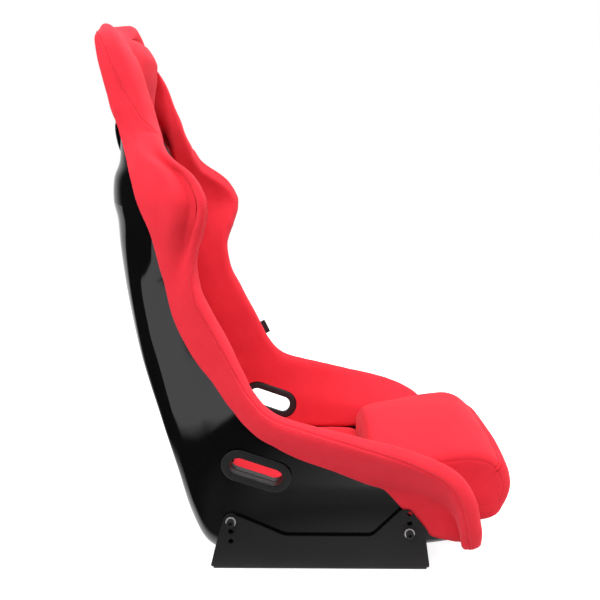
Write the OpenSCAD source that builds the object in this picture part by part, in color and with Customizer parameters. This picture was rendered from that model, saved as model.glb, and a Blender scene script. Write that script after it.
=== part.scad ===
// Fixed-back racing bucket seat on a pair of side-mount brackets.
// Millimetres. +X is forward, +Y is the sitter's left and +Z is up. The origin is the middle of
// the four floor slots, on the underside of the brackets.

/* [Shell] */
// Width over the flat side walls that the brackets bolt to
base_w = 408; // [400:2:416]
// How far the back plate stands outside the side walls, on each side
back_step = 3; // [1:1:5]
// How far the rim flares out of the side walls at the thighs
front_flare = 46; // [42:1:50]
// How far the rim flares out of the side walls at the hips
hip_flare = 34; // [30:1:38]
// How far the rim stands outside the back plate at the waist
waist_flare = 22; // [18:1:26]
// How far the shoulder wings stand outside the back plate
wing_flare = 47; // [42:1:52]
// Width over the shell's head plate
head_w = 280; // [272:2:288]
// Thickness of the glass-fibre laminate
shell_t = 5; // [4:0.5:6]
// How far the back plate bulges to the rear between its corners
plate_crown = 5; // [2:1:8]

/* [Upholstery] */
// Clearance between the laminate and the foam glued to it
glue_gap = 1; // [0.8:0.1:1.2]
// Gap between two sewn panels
seam_gap = 0.6; // [0.4:0.1:1]
// Foam on the inside of the seat's side walls
seat_side_foam = 15; // [12:1:18]
// Foam on the inside of the back's side walls
back_side_foam = 21; // [18:1:24]
// Depth of the roll round the head plate
head_roll = 34; // [30:1:38]
// Foam over the top of the rim
rim_foam = 17; // [14:1:20]
// Foam on the outside of the rim
wrap_foam = 13; // [10:1:15]
// Thickness of the cover where it ends on the outside of the shell
hem_t = 3; // [2:0.5:4]
// Foam on the back plate
back_foam = 28; // [24:1:30]
// Foam between the shoulder blades
shoulder_foam = 38; // [30:1:42]
// Foam above the shoulder-belt slots
neck_foam = 13; // [10:1:20]
// Foam behind the head
head_foam = 42; // [34:1:46]

/* [Cushions] */
// Height of the base pad's top above the floor bolts, at its front
pad_top = 120; // [112:1:126]
// How far the base pad drops from its front to its rear
pad_fall = 30; // [20:1:36]
// Crown of the base pad
pad_crown = 7; // [3:1:9]
// Where the base pad ends and the thigh cushion starts
cushion_rear_x = 83; // [78:1:90]
// Foremost point of the thigh cushion
cushion_front_x = 320; // [312:1:330]
// Width of the thigh cushion over its side panels
cushion_w = 350; // [340:2:356]
// Height of the thigh cushion's highest seam
cushion_seam_z = 184; // [176:1:190]
// Crown of the thigh cushion's top panel
cushion_crown = 48; // [36:1:52]
// Hook-and-loop strips that hold the loose pads
strip_t = 2.4; // [2:0.2:3]

/* [Belt slots] */
// Length of the lap-belt openings
lap_slot_l = 88; // [80:1:92]
// Height of the lap-belt openings
lap_slot_h = 30; // [26:1:32]
// Slope of the lap-belt slots, down to the front
lap_slope = 19; // [14:1:24]
// Length of the shoulder-belt openings
shoulder_slot_l = 74; // [66:1:78]
// Height of the shoulder-belt openings
shoulder_slot_h = 28; // [24:1:30]
// Slope of the shoulder-belt slots, down to the outside
shoulder_slope = 12; // [6:1:16]
// Length of the crotch-strap opening
crotch_slot_l = 84; // [76:1:90]
// Width of the crotch-strap opening
crotch_slot_h = 24; // [20:1:26]
// Width of a bezel's flange round its opening
bezel_w = 14; // [11:1:16]
// Height of a bezel's flange
bezel_t = 3; // [2:0.5:4]
// Wall of a bezel's collar
collar_t = 2; // [1.6:0.2:2.4]

/* [Side mounts] */
// Distance between the two bolts of a side
side_pitch = 290; // [286:1:294]
// Height of the rear bolts
rear_bolt_z = 81; // [78:1:84]
// Height of the front bolts
front_bolt_z = 63; // [60:1:66]
// Pitch of the spare height holes
height_pitch = 16.5; // [15:0.5:18]
// Diameter of the side bolts
bolt_d = 8; // [8, 10]
// Clearance of the bolt holes, on the diameter
hole_play = 0.5; // [0.4:0.1:1]
// Gap between the shell and the bracket, filled by spacers
spacer_t = 5; // [4:0.5:7]
// Outside diameter of the washers under the bolt heads
washer_d = 16.5; // [16:0.5:20]

/* [Brackets] */
// How far a bracket runs past its two bolts, at each end
bracket_past = 34; // [30:1:40]
// Thickness of the bracket steel
bracket_t = 3; // [2.5:0.5:4]
// Width of the bracket's floor flange
flange_w = 46; // [42:1:54]
// Distance between the two floor slots of a bracket
floor_pitch = 300; // [290:2:310]
// Length of the floor slots, end to end
floor_slot_l = 26; // [20:1:32]
// Width of the floor slots
floor_slot_w = 9; // [8.5:0.5:10]

/* [Hidden] */
$fn = 48;

shell_black = "#101012";
fabric_red = "#e62a3c";
trim_black = "#1c1c1e";
steel_black = "#242426";
bright_zinc = "#d0d2d6";

base_half = base_w / 2;
back_half = base_half + back_step;
front_half = base_half + front_flare;
hip_half = base_half + hip_flare;
waist_half = back_half + waist_flare;
wing_half = back_half + wing_flare;
head_half = head_w / 2;

// ---- the shell's surface -------------------------------------------------------------------
// The shell is lofted through cross sections that follow its spine from the front lip, along the
// floor and up the back to the top of the head. Each section lies on the line from the spine to
// the rim: half a flat plate, a bend, a side wall up to a knee, and the wall above it to the rim.
// The columns of a section are:
SPINE_X = 0; // the spine, on the outside of the laminate
SPINE_Z = 1;
RIM_X = 2; // the edge of the side wall
RIM_Z = 3;
PLATE = 4; // half-width of the plate
KNEE = 5; // half-width at the knee
RIM = 6; // half-width at the rim
RISE = 7; // height of the knee, as a share of the wall
BEND = 8; // size of the bend from plate to wall
HEM = 9; // width of the band below the rim that the cover is glued to, on the outside
COVER = 10; // the place where the cover ends on the outside
SIDE = 11; // foam inside the wall
TOP = 12; // foam over the rim
WRAP = 13; // foam outside the rim
CROWN = 14; // bulge of the plate

seat = [seat_side_foam, rim_foam, wrap_foam, 0];
back = [back_side_foam, rim_foam, wrap_foam, plate_crown];
neck = [(back_side_foam + head_roll) / 2, rim_foam - 1, wrap_foam - 2, plate_crown];
head = [head_roll, rim_foam - 3, wrap_foam, plate_crown];
sections = [
    concat([238, 47, 237, 54, base_half - 8, base_half, front_half - 22, 0.60, 24, 4, 6.2], seat),
    concat([231, 43, 233, 88, base_half - 2, base_half, front_half - 8, 0.62, 22, 26, 6], seat),
    concat([206, 41, 221, 134, base_half, base_half, front_half, 0.62, 20, 34, 6.2], seat),
    concat([168, 36, 196, 166, base_half, base_half, front_half, 0.62, 20, 40, 7.15], seat),
    concat([110, 31, 136, 194, base_half, base_half, front_half, 0.62, 22, 44, 7.8], seat),
    concat([30, 24, 46, 217, base_half, base_half, front_half - 4, 0.56, 28, 46, 9.45], seat),
    concat([-60, 18, -34, 236, base_half, base_half, hip_half + 3, 0.50, 36, 32, 9.75], seat),
    concat([-135, 14, -82, 254, base_half, base_half, hip_half, 0.40, 42, 34, 10.1], seat),
    concat([-185, 30, -112, 286, base_half, base_half + 1, hip_half - 2, 0.36, 46, 38, 10.1], seat),
    concat([-214, 84, -130, 320, base_half, base_half + 10, hip_half - 4, 0.40, 46, 40, 9.95], seat),
    concat([-235, 160, -150, 360, back_half - 1, back_half + 9, waist_half + 2, 0.45, 44, 42, 9.85], back),
    concat([-261, 250, -173, 402, back_half, back_half + 9, waist_half, 0.45, 42, 42, 9.6], back),
    concat([-288, 345, -197, 450, back_half, back_half + 9, waist_half, 0.45, 40, 36, 9.45], back),
    concat([-306, 440, -206, 496, back_half, back_half + 10, waist_half, 0.45, 40, 32, 9.4], back),
    concat([-316, 520, -196, 541, back_half + 2, wing_half - 28, wing_half - 14, 0.45, 42, 48, 8.7], back),
    concat([-319, 566, -187, 574, back_half + 2, wing_half - 22, wing_half - 1, 0.45, 42, 70, 7.65], back),
    concat([-326, 596, -188, 602, back_half - 2, wing_half - 22, wing_half, 0.45, 42, 80, 7.35], back),
    concat([-326, 632, -206, 633, wing_half - 58, wing_half - 36, wing_half - 16, 0.45, 40, 78, 7.1], back),
    concat([-320, 662, -241, 662, head_half + 34, head_half + 52, head_half + 68, 0.45, 36, 52, 6.7], back),
    concat([-325, 705, -262, 700, head_half + 8, head_half + 17, head_half + 26, 0.5, 28, 28, 5.65], back),
    concat([-338, 760, -288, 757, head_half - 6, head_half, head_half + 8, 0.5, 22, 16, 5], neck),
    concat([-353, 822, -309, 819, head_half - 16, head_half - 7, head_half + 1, 0.5, 18, 12, 5], head),
    concat([-360, 851, -326, 849, head_half - 30, head_half - 20, head_half - 12, 0.5, 16, 8, 5], head),
    concat([-363, 876, -348, 875, head_half - 72, head_half - 62, head_half - 54, 0.5, 14, 4, 5], head),
];
top_station = len(sections) - 1;
station_step = 0.5;
SEAM = seam_gap / 100; // half a seam between panels, in stations
// Where the upholstery's panels meet, in stations
waist_station = 13;
neck_station = 18;
head_station = 19.75;
back_start = 8.5;

// A smooth curve through the sections
function section_at(u) =
    let (
        i = min(floor(u), top_station - 1), f = u - i,
        a = sections[max(i - 1, 0)], b = sections[i],
        c = sections[i + 1], d = sections[min(i + 2, top_station)]
    )
    (2 * b + (c - a) * f + (2 * a - 5 * b + 4 * c - d) * f * f + (3 * b - a - 3 * c + d) * f * f * f) / 2;

function lerp(a, b, t) = a + (b - a) * t;
function unit(v) = v / norm(v);

// Places across a section are numbered from the spine to the rim, negative on the right:
PLATE_END = 4;
BEND_END = 7;
KNEE_AT = 8;
HEM_AT = 10;
RIM_AT = 12;
columns = [0, 2, 4, 5, 6, 7, 8, 9.5, 11, 12];
function both_sides(list) = concat([for (i = [len(list) - 1:-1:1]) -list[i]], list);
function columns_to(last) = both_sides([for (k = columns) if (k <= last) k]);

// A point of a section, as [half-width, height above the spine]
function section_point(s, k) =
    let (
        height = norm([s[RIM_X] - s[SPINE_X], s[RIM_Z] - s[SPINE_Z]]),
        knee_h = height * s[RISE], bend_h = min(s[BEND], 0.6 * knee_h),
        foot = [s[PLATE] - s[BEND], 0], corner = [s[PLATE], 0],
        wall = [lerp(s[PLATE], s[KNEE], bend_h / knee_h), bend_h],
        knee = [s[KNEE], knee_h], rim = [s[RIM], height],
        hem = lerp(rim, knee, min(s[HEM] / norm(rim - knee), 0.92))
    )
    k <= PLATE_END ? foot * k / PLATE_END
    : k <= BEND_END ? let (t = (k - PLATE_END) / (BEND_END - PLATE_END))
        foot * (1 - t) * (1 - t) + corner * 2 * t * (1 - t) + wall * t * t
    : k <= KNEE_AT ? lerp(wall, knee, k - BEND_END)
    : k <= HEM_AT ? lerp(knee, hem, (k - KNEE_AT) / (HEM_AT - KNEE_AT))
    : lerp(hem, rim, (k - HEM_AT) / (RIM_AT - HEM_AT));

// A point on the outside of the shell at station u and place k
function skin(u, k) =
    let (
        s = section_at(u), q = section_point(s, abs(k)),
        rise = unit([s[RIM_X] - s[SPINE_X], s[RIM_Z] - s[SPINE_Z]]),
        h = q[1] - s[CROWN] * max(0, 1 - pow(q[0] / s[PLATE], 2))
    )
    [s[SPINE_X] + rise[0] * h, sign(k) * q[0], s[SPINE_Z] + rise[1] * h];

// The unit normal there, into the seat
PROBE = 0.06;
function inward(u, k) =
    unit(cross(
        skin(u, min(k + PROBE, RIM_AT)) - skin(u, max(k - PROBE, -RIM_AT)),
        skin(min(u + PROBE, top_station), k) - skin(max(u - PROBE, 0), k)
    ));

// The same point, moved into the seat by depth
function inside(u, k, depth) = skin(u, k) + inward(u, k) * depth;

function stations(from, to) =
    concat([from], [for (i = [1:round(top_station / station_step) - 1])
        let (u = i * station_step) if (u > from + 0.1 && u < to - 0.1) u], [to]);

// A closed solid between two sheets of points that have the same rows and columns
module thick_sheet(near, far) {
    rows = len(near);
    cols = len(near[0]);
    size = rows * cols;
    points = [for (sheet = [near, far]) for (row = sheet) for (p = row) p];
    function at(i, j) = i * cols + j;
    sheets = [for (i = [0:rows - 2]) for (j = [0:cols - 2])
        let (a = at(i, j), b = at(i, j + 1), c = at(i + 1, j + 1), d = at(i + 1, j))
        each [[a, b, c], [a, c, d], [size + a, size + c, size + b], [size + a, size + d, size + c]]];
    sides = [for (i = [0:rows - 2]) for (j = [0, cols - 1])
        let (a = at(i, j), b = at(i + 1, j))
        each (j == 0 ? [[a, b, size + b], [a, size + b, size + a]]
                     : [[b, a, size + a], [b, size + a, size + b]])];
    ends = [for (j = [0:cols - 2]) for (i = [0, rows - 1])
        let (a = at(i, j), b = at(i, j + 1))
        each (i == 0 ? [[b, a, size + a], [b, size + a, size + b]]
                     : [[a, b, size + b], [a, size + b, size + a]])];
    polyhedron(points = points, faces = concat(sheets, sides, ends));
}

// ---- laminate --------------------------------------------------------------------------------
// A slot's outline: a straight stretch with round ends, grown by extra
function slot_outline(length, height, extra = 0, steps = 8) =
    let (r = height / 2 + extra, run = (length - height) / 2)
    concat(
        [for (i = [0:steps]) let (a = -90 + 180 * i / steps) [run + r * cos(a), r * sin(a)]],
        [for (i = [0:steps]) let (a = 90 + 180 * i / steps) [-run + r * cos(a), r * sin(a)]]
    );

// Places its children on the skin at (u, k): X along the slot, Z out of the shell
module on_skin(u, k, along) {
    z = -inward(u, k);
    x = unit(along - z * (along * z));
    y = cross(z, x);
    p = skin(u, k);
    multmatrix([
        [x[0], y[0], z[0], p[0]],
        [x[1], y[1], z[1], p[1]],
        [x[2], y[2], z[2], p[2]],
        [0, 0, 0, 1],
    ]) children();
}

// Where the belt slots are, as station, place and direction
module at_lap_slot() on_skin(7.03, 9.05, [cos(lap_slope), 0, -sin(lap_slope)]) children();
module at_shoulder_slot()
    on_skin(18.95, 2.8, [0, cos(shoulder_slope), -sin(shoulder_slope)]) children();
module at_crotch_slot() on_skin(4.42, 0, [0, 1, 0]) children();

seat_play = 0.3; // between a bezel and what it sits on
bezel_sink = 2; // how deep a bezel's flange sits in the foam
lap_depth = shell_t + glue_gap + seat_side_foam; // from the skin to the cover at the lap slots

// Removes a belt slot through everything from far behind the skin to just in front of it
slot_play = 0.4; // clearance round a bezel's collar
module slot_cut(length, height, behind = 60)
    translate([0, 0, -behind])
    linear_extrude(behind + 30)
    polygon(slot_outline(length, height, collar_t + slot_play));

// Sinks a bezel's flange into foam, down to a depth below the origin
module bezel_seat(length, height, depth)
    translate([0, 0, -depth - 30])
    linear_extrude(30)
    polygon(slot_outline(length, height, bezel_w + seat_play));

module both_hands() {
    children();
    mirror([0, 1, 0]) children();
}

bolt_run = sqrt(side_pitch * side_pitch - pow(rear_bolt_z - front_bolt_z, 2));
module at_side_bolts()
    for (place = [[-bolt_run / 2, rear_bolt_z], [bolt_run / 2, front_bolt_z]])
        translate([place[0], 0, place[1]]) rotate([-90, 0, 0]) children();

insert_d = bolt_d + 6;
module shell() {
    us = stations(0, top_station);
    ks = columns_to(RIM_AT);
    color(shell_black)
    difference() {
        thick_sheet([for (u = us) [for (k = ks) skin(u, k)]],
                    [for (u = us) [for (k = ks) inside(u, k, shell_t)]]);
        both_hands() {
            at_lap_slot() slot_cut(lap_slot_l, lap_slot_h, 20);
            at_shoulder_slot() slot_cut(shoulder_slot_l, shoulder_slot_h, 20);
            at_side_bolts() cylinder(h = base_half + 20, d = insert_d + 0.2);
        }
        at_crotch_slot() slot_cut(crotch_slot_l, crotch_slot_h, 20);
    }
}

// ---- upholstery over the rim -----------------------------------------------------------------
// The part of a roll's cross section that lies over the edge, as pairs of a point on the laminate
// and a point on the cover. The edge f is [point, unit vector into the seat, unit vector outward].
function over_rim(f, foam, top, wrap) =
    let (
        g = glue_gap,
        place = function (out, into) f[0] + f[2] * out + f[1] * into
    )
    [
        [place(g, shell_t + g), place(0.45 * top, shell_t + foam * 0.96)],
        [place(g, shell_t * 0.75), place(0.83 * top, shell_t + foam * 0.62)],
        [place(g, shell_t * 0.5), place(top, shell_t + foam * 0.1)],
        [place(g, shell_t * 0.25), place(0.84 * top, -wrap * 0.52)],
        [place(g, -g), place(0.42 * top, -wrap * 0.94)],
    ];

module roll(pairs)
    color(fabric_red)
    thick_sheet([for (row = pairs) [for (pair = row) pair[0]]],
                [for (row = pairs) [for (pair = row) pair[1]]]);

// The edge of the side wall at station u
function side_rim(u) =
    let (p = skin(u, RIM_AT))
    [p, inward(u, RIM_AT), unit(p - skin(u, RIM_AT - 1))];

// The part on the outside: how far each point is from the rim to the hem, and how thick the cover
// is there round the head, as a share of the wrap
hem_shares = [0.33, 0.57, 0.71, 0.86, 1];
head_wraps = [1, 1, 1, 0.75, 0.5];

// A bolster's cross section: from the foot of its leg inside the wall, over the rim, to the hem
function bolster_section(u) =
    let (
        s = section_at(u), foam = s[SIDE], wrap = s[WRAP], near = shell_t + glue_gap,
        leg = [for (k = [KNEE_AT, HEM_AT - 0.5, RIM_AT - 1])
            [inside(u, k, near), inside(u, k, near + foam * (k == KNEE_AT ? 0.8 : 1))]],
        fade = max(0, min(1, (u - 19) / 0.75)),
        outside = [for (j = [0:4])
            let (
                k = lerp(RIM_AT, s[COVER], hem_shares[j]),
                thick = lerp([0.7, 0.45, 0.3, 0.15, 0][j], head_wraps[j], fade)
            )
            [inside(u, k, -glue_gap), inside(u, k, -glue_gap - lerp(hem_t, wrap, thick))]]
    )
    concat(leg, over_rim(side_rim(u), foam, s[TOP], wrap), outside);

function bolster(from, to) = [for (u = stations(from, to)) bolster_section(u)];

// The rounded end of the hip bolster, drawn in and hanging past the shell's front edge
function nose(draw, down) =
    let (d = unit(skin(0, RIM_AT) - skin(0.5, RIM_AT)))
    [for (pair = bolster_section(0)) [pair[0] + d * down, lerp(pair[1], pair[0], draw) + d * down]];

module hip_bolster()
    color(fabric_red)
    difference() {
        roll(concat([nose(0.7, 9), nose(0.25, 6)], bolster(0, waist_station - SEAM)));
        at_lap_slot() {
            slot_cut(lap_slot_l, lap_slot_h);
            bezel_seat(lap_slot_l, lap_slot_h, lap_depth - bezel_sink);
        }
    }
module shoulder_bolster() roll(bolster(waist_station + SEAM, head_station - SEAM));
module hip_bolster_left() hip_bolster();
module hip_bolster_right() mirror([0, 1, 0]) hip_bolster();
module shoulder_bolster_left() shoulder_bolster();
module shoulder_bolster_right() mirror([0, 1, 0]) shoulder_bolster();

// The roll round the head plate runs up one side, over the top and down the other. Each step is
// the edge it goes over and the place its foot reaches, both as station and place.
head_side = [
    [head_station + SEAM, 12, head_station + SEAM, 4], [20, 12, 20, 4], [20.5, 12, 20.5, 4],
    [21, 12, 21, 4], [21.5, 12, 21.5, 4], [22, 12, 21.9, 3.9], [22.5, 12, 22.1, 3.7], [22.8, 12, 22.2, 3.5],
    [23, 12, 22.2, 3.3], [23, 10, 22.2, 3], [23, 7, 22.2, 2.6], [23, 4, 22.2, 2], [23, 2, 22.2, 1],
];
head_path = concat(head_side, [[23, 0, 22.2, 0]], [for (i = [len(head_side) - 1:-1:0])
    let (q = head_side[i]) [q[0], -q[1], q[2], -q[3]]]);

function head_section(i) =
    let (
        last = len(head_path) - 1, q = head_path[i],
        a = head_path[max(i - 1, 0)], b = head_path[min(i + 1, last)],
        p = skin(q[0], q[1]), n = inward(q[0], q[1]),
        t = q[0] < 22 ? unit(p - skin(q[0], q[1] - sign(q[1])))
            : unit(cross(skin(b[0], b[1]) - skin(a[0], a[1]), n)),
        s = section_at(q[0]), wrap = s[WRAP],
        gap = glue_gap, near = shell_t + gap,
        over = over_rim([p, n, t], s[SIDE], s[TOP], wrap),
        foot = inside(q[2], q[3], near + head_roll), crest = over[0][1],
        on = function (share, depth) inside(lerp(q[2], q[0], share), lerp(q[3], q[1], share), depth),
        hem_k = 1.28 * q[3], // the cover reaches a little further behind the plate
        behind = function (share, depth)
            inside(lerp(q[0], q[2], share), lerp(q[1], hem_k, share), depth)
    )
    concat(
        [for (j = [0:3]) [on(j / 4, near), lerp(foot, crest, j / 4) + n * [0, 2, 3, 2][j]]],
        over,
        [for (j = [0:4]) let (share = hem_shares[j])
            [behind(share, -gap - 0.6), behind(share, -gap - lerp(hem_t, wrap, head_wraps[j]))]]
    );
module head_bolster() roll([for (i = [0:len(head_path) - 1]) head_section(i)]);

// ---- pads glued to the shell -----------------------------------------------------------------
// A pad that follows the inside of the shell. Its depth is given per station and place.
module fitted_pad(us, ks, depth)
    color(fabric_red)
    thick_sheet([for (u = us) [for (k = ks) inside(u, k, shell_t + glue_gap)]],
                [for (u = us) [for (k = ks) inside(u, k, shell_t + glue_gap + depth(u, k))]]);

// The foam's depth up the middle of the back, and how it falls off towards the bolsters beside it
function middle_foam(u) = lookup(u, [
    [back_start, back_foam], [neck_station - 3, back_foam], [neck_station, shoulder_foam],
    [neck_station + 0.3, shoulder_foam], [head_station - 0.3, neck_foam], [head_station, neck_foam],
    [21, head_foam], [21.8, head_foam],
]);
function beside_bolster(u, k) =
    lerp(middle_foam(u), min(middle_foam(u), 0.8 * back_side_foam), min(1, pow(k / (KNEE_AT - 3), 2)));

pad_columns = both_sides([0, 2, 4, 5, 6, 7, KNEE_AT - 0.08]);
module back_pad()
    fitted_pad(stations(back_start, neck_station - 4 * SEAM), pad_columns,
               function (u, k) beside_bolster(u, k));

module neck_pad()
    color(fabric_red)
    difference() {
        fitted_pad(stations(neck_station + 4 * SEAM, head_station - 3 * SEAM), pad_columns,
                   function (u, k) beside_bolster(u, k));
        both_hands() at_neck_slot() {
            slot_cut(shoulder_slot_l, shoulder_slot_h);
            bezel_seat(shoulder_slot_l, shoulder_slot_h, -bezel_sink);
        }
    }

// The head pad fills the ring of the head bolster's foot
function head_foot(u) = lookup(u, [for (q = head_side) if (q[0] < 22.9) [q[2], q[3]]]);
module head_pad() {
    us = stations(head_station + 3 * SEAM, 22.12);
    shares = both_sides([0, 0.35, 0.7, 0.98]);
    near = shell_t + glue_gap;
    color(fabric_red)
    thick_sheet([for (u = us) [for (f = shares) inside(u, f * head_foot(u), near)]],
                [for (u = us) [for (f = shares)
                    inside(u, f * head_foot(u), near + lerp(middle_foam(u), head_roll, f * f))]]);
}

// ---- loose cushions --------------------------------------------------------------------------
// A closed solid through a stack of rings of points, closed at both ends by a fan
module ring_stack(rings, first, last) {
    n = len(rings[0]);
    m = len(rings);
    polyhedron(
        points = concat([for (ring = rings) each ring], [first, last]),
        faces = concat(
            [for (i = [0:n - 1]) [n * m, i, (i + 1) % n]],
            [for (r = [0:m - 2]) for (i = [0:n - 1])
                let (a = r * n + i, b = r * n + (i + 1) % n) each [[a, a + n, b], [b, a + n, b + n]]],
            [for (i = [0:n - 1]) let (a = (m - 1) * n) [n * m + 1, a + (i + 1) % n, a + i]]
        )
    );
}

// A rounded rectangle of points: half-sizes a and b and corner radius r. The straight sides have
// points of their own, so that a crowned top stays smooth.
function rounded_outline(a, b, r, arc = 3, side = 5) =
    [for (q = [0:3]) each concat(
        let (sx = [1, -1, -1, 1][q], sy = [1, 1, -1, -1][q])
        [for (i = [0:arc]) let (t = 90 * (q + i / arc))
            [sx * (a - r) + r * cos(t), sy * (b - r) + r * sin(t)]],
        let (from = [[a - r, b], [-a, b - r], [-a + r, -b], [a, -b + r]][q],
             to = [[-a + r, b], [-a, -b + r], [a - r, -b], [a, b - r]][q])
        [for (i = [1:side]) lerp(from, to, i / (side + 1))]
    )];

pad_gap = 1; // round the loose cushions
under_pad = shell_t + glue_gap + strip_t; // from the outside of the floor to a loose cushion
pad_rear_x = -167;
pad_half = base_half - shell_t - pad_gap - 1;
pad_middle = (cushion_rear_x - pad_gap + pad_rear_x) / 2;
pad_half_l = (cushion_rear_x - pad_gap - pad_rear_x) / 2;

function floor_z(x) = lookup(x, [for (i = [8:-1:0]) [sections[i][SPINE_X], sections[i][SPINE_Z]]]);
function pad_bottom_at(x) = floor_z(x) + under_pad + 4 * pow(max(0, (-110 - x) / 58), 2);
function pad_top_at(x, y) =
    let (back = max(0, (cushion_rear_x - 40 - x) / (cushion_rear_x - 40 - pad_rear_x)))
    pad_top - pad_fall * back * back + pad_crown * (1 - pow(y / pad_half, 2));

// A ring of the base pad: drawn in from its outline, at a share of its height
function pad_ring(draw, share) =
    [for (q = rounded_outline(pad_half_l - draw, pad_half - draw, max(28 - draw, 6)))
        let (x = pad_middle + q[0]) [x, q[1], lerp(pad_bottom_at(x), pad_top_at(x, q[1]), share)]];

// The crotch strap comes up between the base pad and the thigh cushion
module strap_notch()
    at_crotch_slot() translate([0, 0, -200]) linear_extrude(240)
    polygon(slot_outline(crotch_slot_l, crotch_slot_h));

module base_pad()
    color(fabric_red)
    difference() {
        ring_stack(
            [pad_ring(30, 0), pad_ring(24, 0.03), pad_ring(8, 0.3), pad_ring(5, 0.6), pad_ring(0, 0.86),
             pad_ring(5, 0.96), pad_ring(16, 1), pad_ring(60, 1)],
            [pad_middle, 0, pad_bottom_at(pad_middle)], [pad_middle, 0, pad_top_at(pad_middle, 0)]
        );
        strap_notch();
    }

// The thigh cushion stands on the floor and overhangs the front lip. Its side view is lofted from
// one side panel to the other, and its top panel rises to a crown between them.
cushion_half = cushion_w / 2;
rear_x = cushion_rear_x;
front_x = cushion_front_x;
seam_z = cushion_seam_z;
lip_z = sections[0][RIM_Z] + 10;
// [x, z, share of the crown], from the rear bottom edge round the front to the rear top edge
cushion_side = [
    [rear_x + 5, floor_z(rear_x) + under_pad, 0],
    [rear_x + 60, floor_z(rear_x + 60) + under_pad, 0],
    [212, floor_z(212) + under_pad + 0.6, 0],
    [238, lip_z - 6, 0],
    [260, lip_z, 0],
    [front_x - 38, lip_z + 3, 0],
    [front_x - 25, lip_z + 9, 0],
    [front_x - 10, lip_z + 25, 0],
    [front_x, lip_z + 52, 0.1],
    [front_x - 3, lip_z + 76, 0.2],
    [front_x - 12, seam_z - 23, 0.3],
    [front_x - 28, seam_z - 9, 0.5],
    [front_x - 45, seam_z - 1, 0.8],
    [front_x - 66, seam_z + 1, 1],
    [front_x - 92, seam_z - 3, 1],
    [front_x - 120, seam_z - 8, 1],
    [rear_x + 75, seam_z - 14, 1],
    [rear_x + 36, seam_z - 21, 1],
    [rear_x + 12, seam_z - 27, 0.95],
    [rear_x + 3, seam_z - 34, 0.8],
    [rear_x, seam_z - 52, 0.4],
    [rear_x + 1, seam_z - 100, 0],
];
cushion_middle = [(front_x + rear_x) / 2, seam_z - 70];

// The side view at a share of the half-width, drawn in towards its middle
function cushion_ring(share, draw) =
    [for (q = cushion_side)
        let (
            c = cushion_middle, away = [q[0] - c[0], q[1] - c[1]],
            in = unit(away) * draw, crown = cushion_crown * q[2] * max(0, 1 - pow(abs(share), 2.4))
        )
        [q[0] - in[0], share * cushion_half, q[1] - in[1] + crown]];

module thigh_cushion() {
    shares = [0, 0.2, 0.4, 0.6, 0.78, 0.9];
    right = concat([for (share = shares) cushion_ring(-share, 0)],
                   [cushion_ring(-0.965, 1.5), cushion_ring(-1, 6), cushion_ring(-1.004, 16)]);
    rings = concat([for (i = [len(right) - 1:-1:1]) [for (p = right[i]) [p[0], -p[1], p[2]]]], right);
    bulge = cushion_half + 2;
    color(fabric_red)
    difference() {
        ring_stack(rings, [cushion_middle[0], bulge, cushion_middle[1]],
                   [cushion_middle[0], -bulge, cushion_middle[1]]);
        strap_notch();
    }
}

// Hook-and-loop strips on the floor hold the two loose cushions
module pad_strips() {
    color(trim_black)
    both_hands()
    for (run = [[2.5, 3.5], [5.5, 6.5]])
        thick_sheet(
            [for (u = [run[0], lerp(run[0], run[1], 0.5), run[1]]) [for (k = [2, 3]) inside(u, k, shell_t + 0.1)]],
            [for (u = [run[0], lerp(run[0], run[1], 0.5), run[1]]) [for (k = [2, 3]) inside(u, k, under_pad - 0.3)]]
        );
}

// ---- belt-slot bezels ------------------------------------------------------------------------
// A moulded frame round an opening: a domed flange on the surface z = 0 and a collar below it
module bezel(length, height, collar, thick = bezel_t) {
    profile = [
        [0, -collar], [0, thick * 0.55], [1.2, thick], [bezel_w * 0.6, thick],
        [bezel_w, thick * 0.4], [bezel_w, 0], [collar_t, 0], [collar_t, -collar],
    ];
    rings = [for (q = profile) [for (p = slot_outline(length, height, q[0])) [p[0], p[1], q[1]]]];
    n = len(rings[0]);
    m = len(profile);
    color(trim_black)
    polyhedron(
        points = [for (ring = rings) each ring],
        faces = [for (r = [0:m - 1]) for (i = [0:n - 1])
            let (a = r * n + i, b = r * n + (i + 1) % n,
                 c = ((r + 1) % m) * n + i, d = ((r + 1) % m) * n + (i + 1) % n)
            each [[a, b, c], [b, d, c]]]
    );
}

// A bezel on the outside of the shell, and one that faces it in the foam
module outer_bezel(length, height, collar)
    translate([0, 0, 2 * seat_play]) bezel(length, height, collar + 2 * seat_play);
module inner_bezel(length, height, collar, depth)
    translate([0, 0, -depth - seat_play]) rotate([180, 0, 0]) bezel(length, height, collar);

lap_collar = (lap_depth - bezel_sink) / 2 - seat_play; // the two collars meet half-way
module lap_outer() at_lap_slot() outer_bezel(lap_slot_l, lap_slot_h, lap_collar);
module lap_inner() at_lap_slot() inner_bezel(lap_slot_l, lap_slot_h, lap_collar, lap_depth - bezel_sink);
module lap_bezel_outer_left() lap_outer();
module lap_bezel_outer_right() mirror([0, 1, 0]) lap_outer();
module lap_bezel_inner_left() lap_inner();
module lap_bezel_inner_right() mirror([0, 1, 0]) lap_inner();

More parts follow.
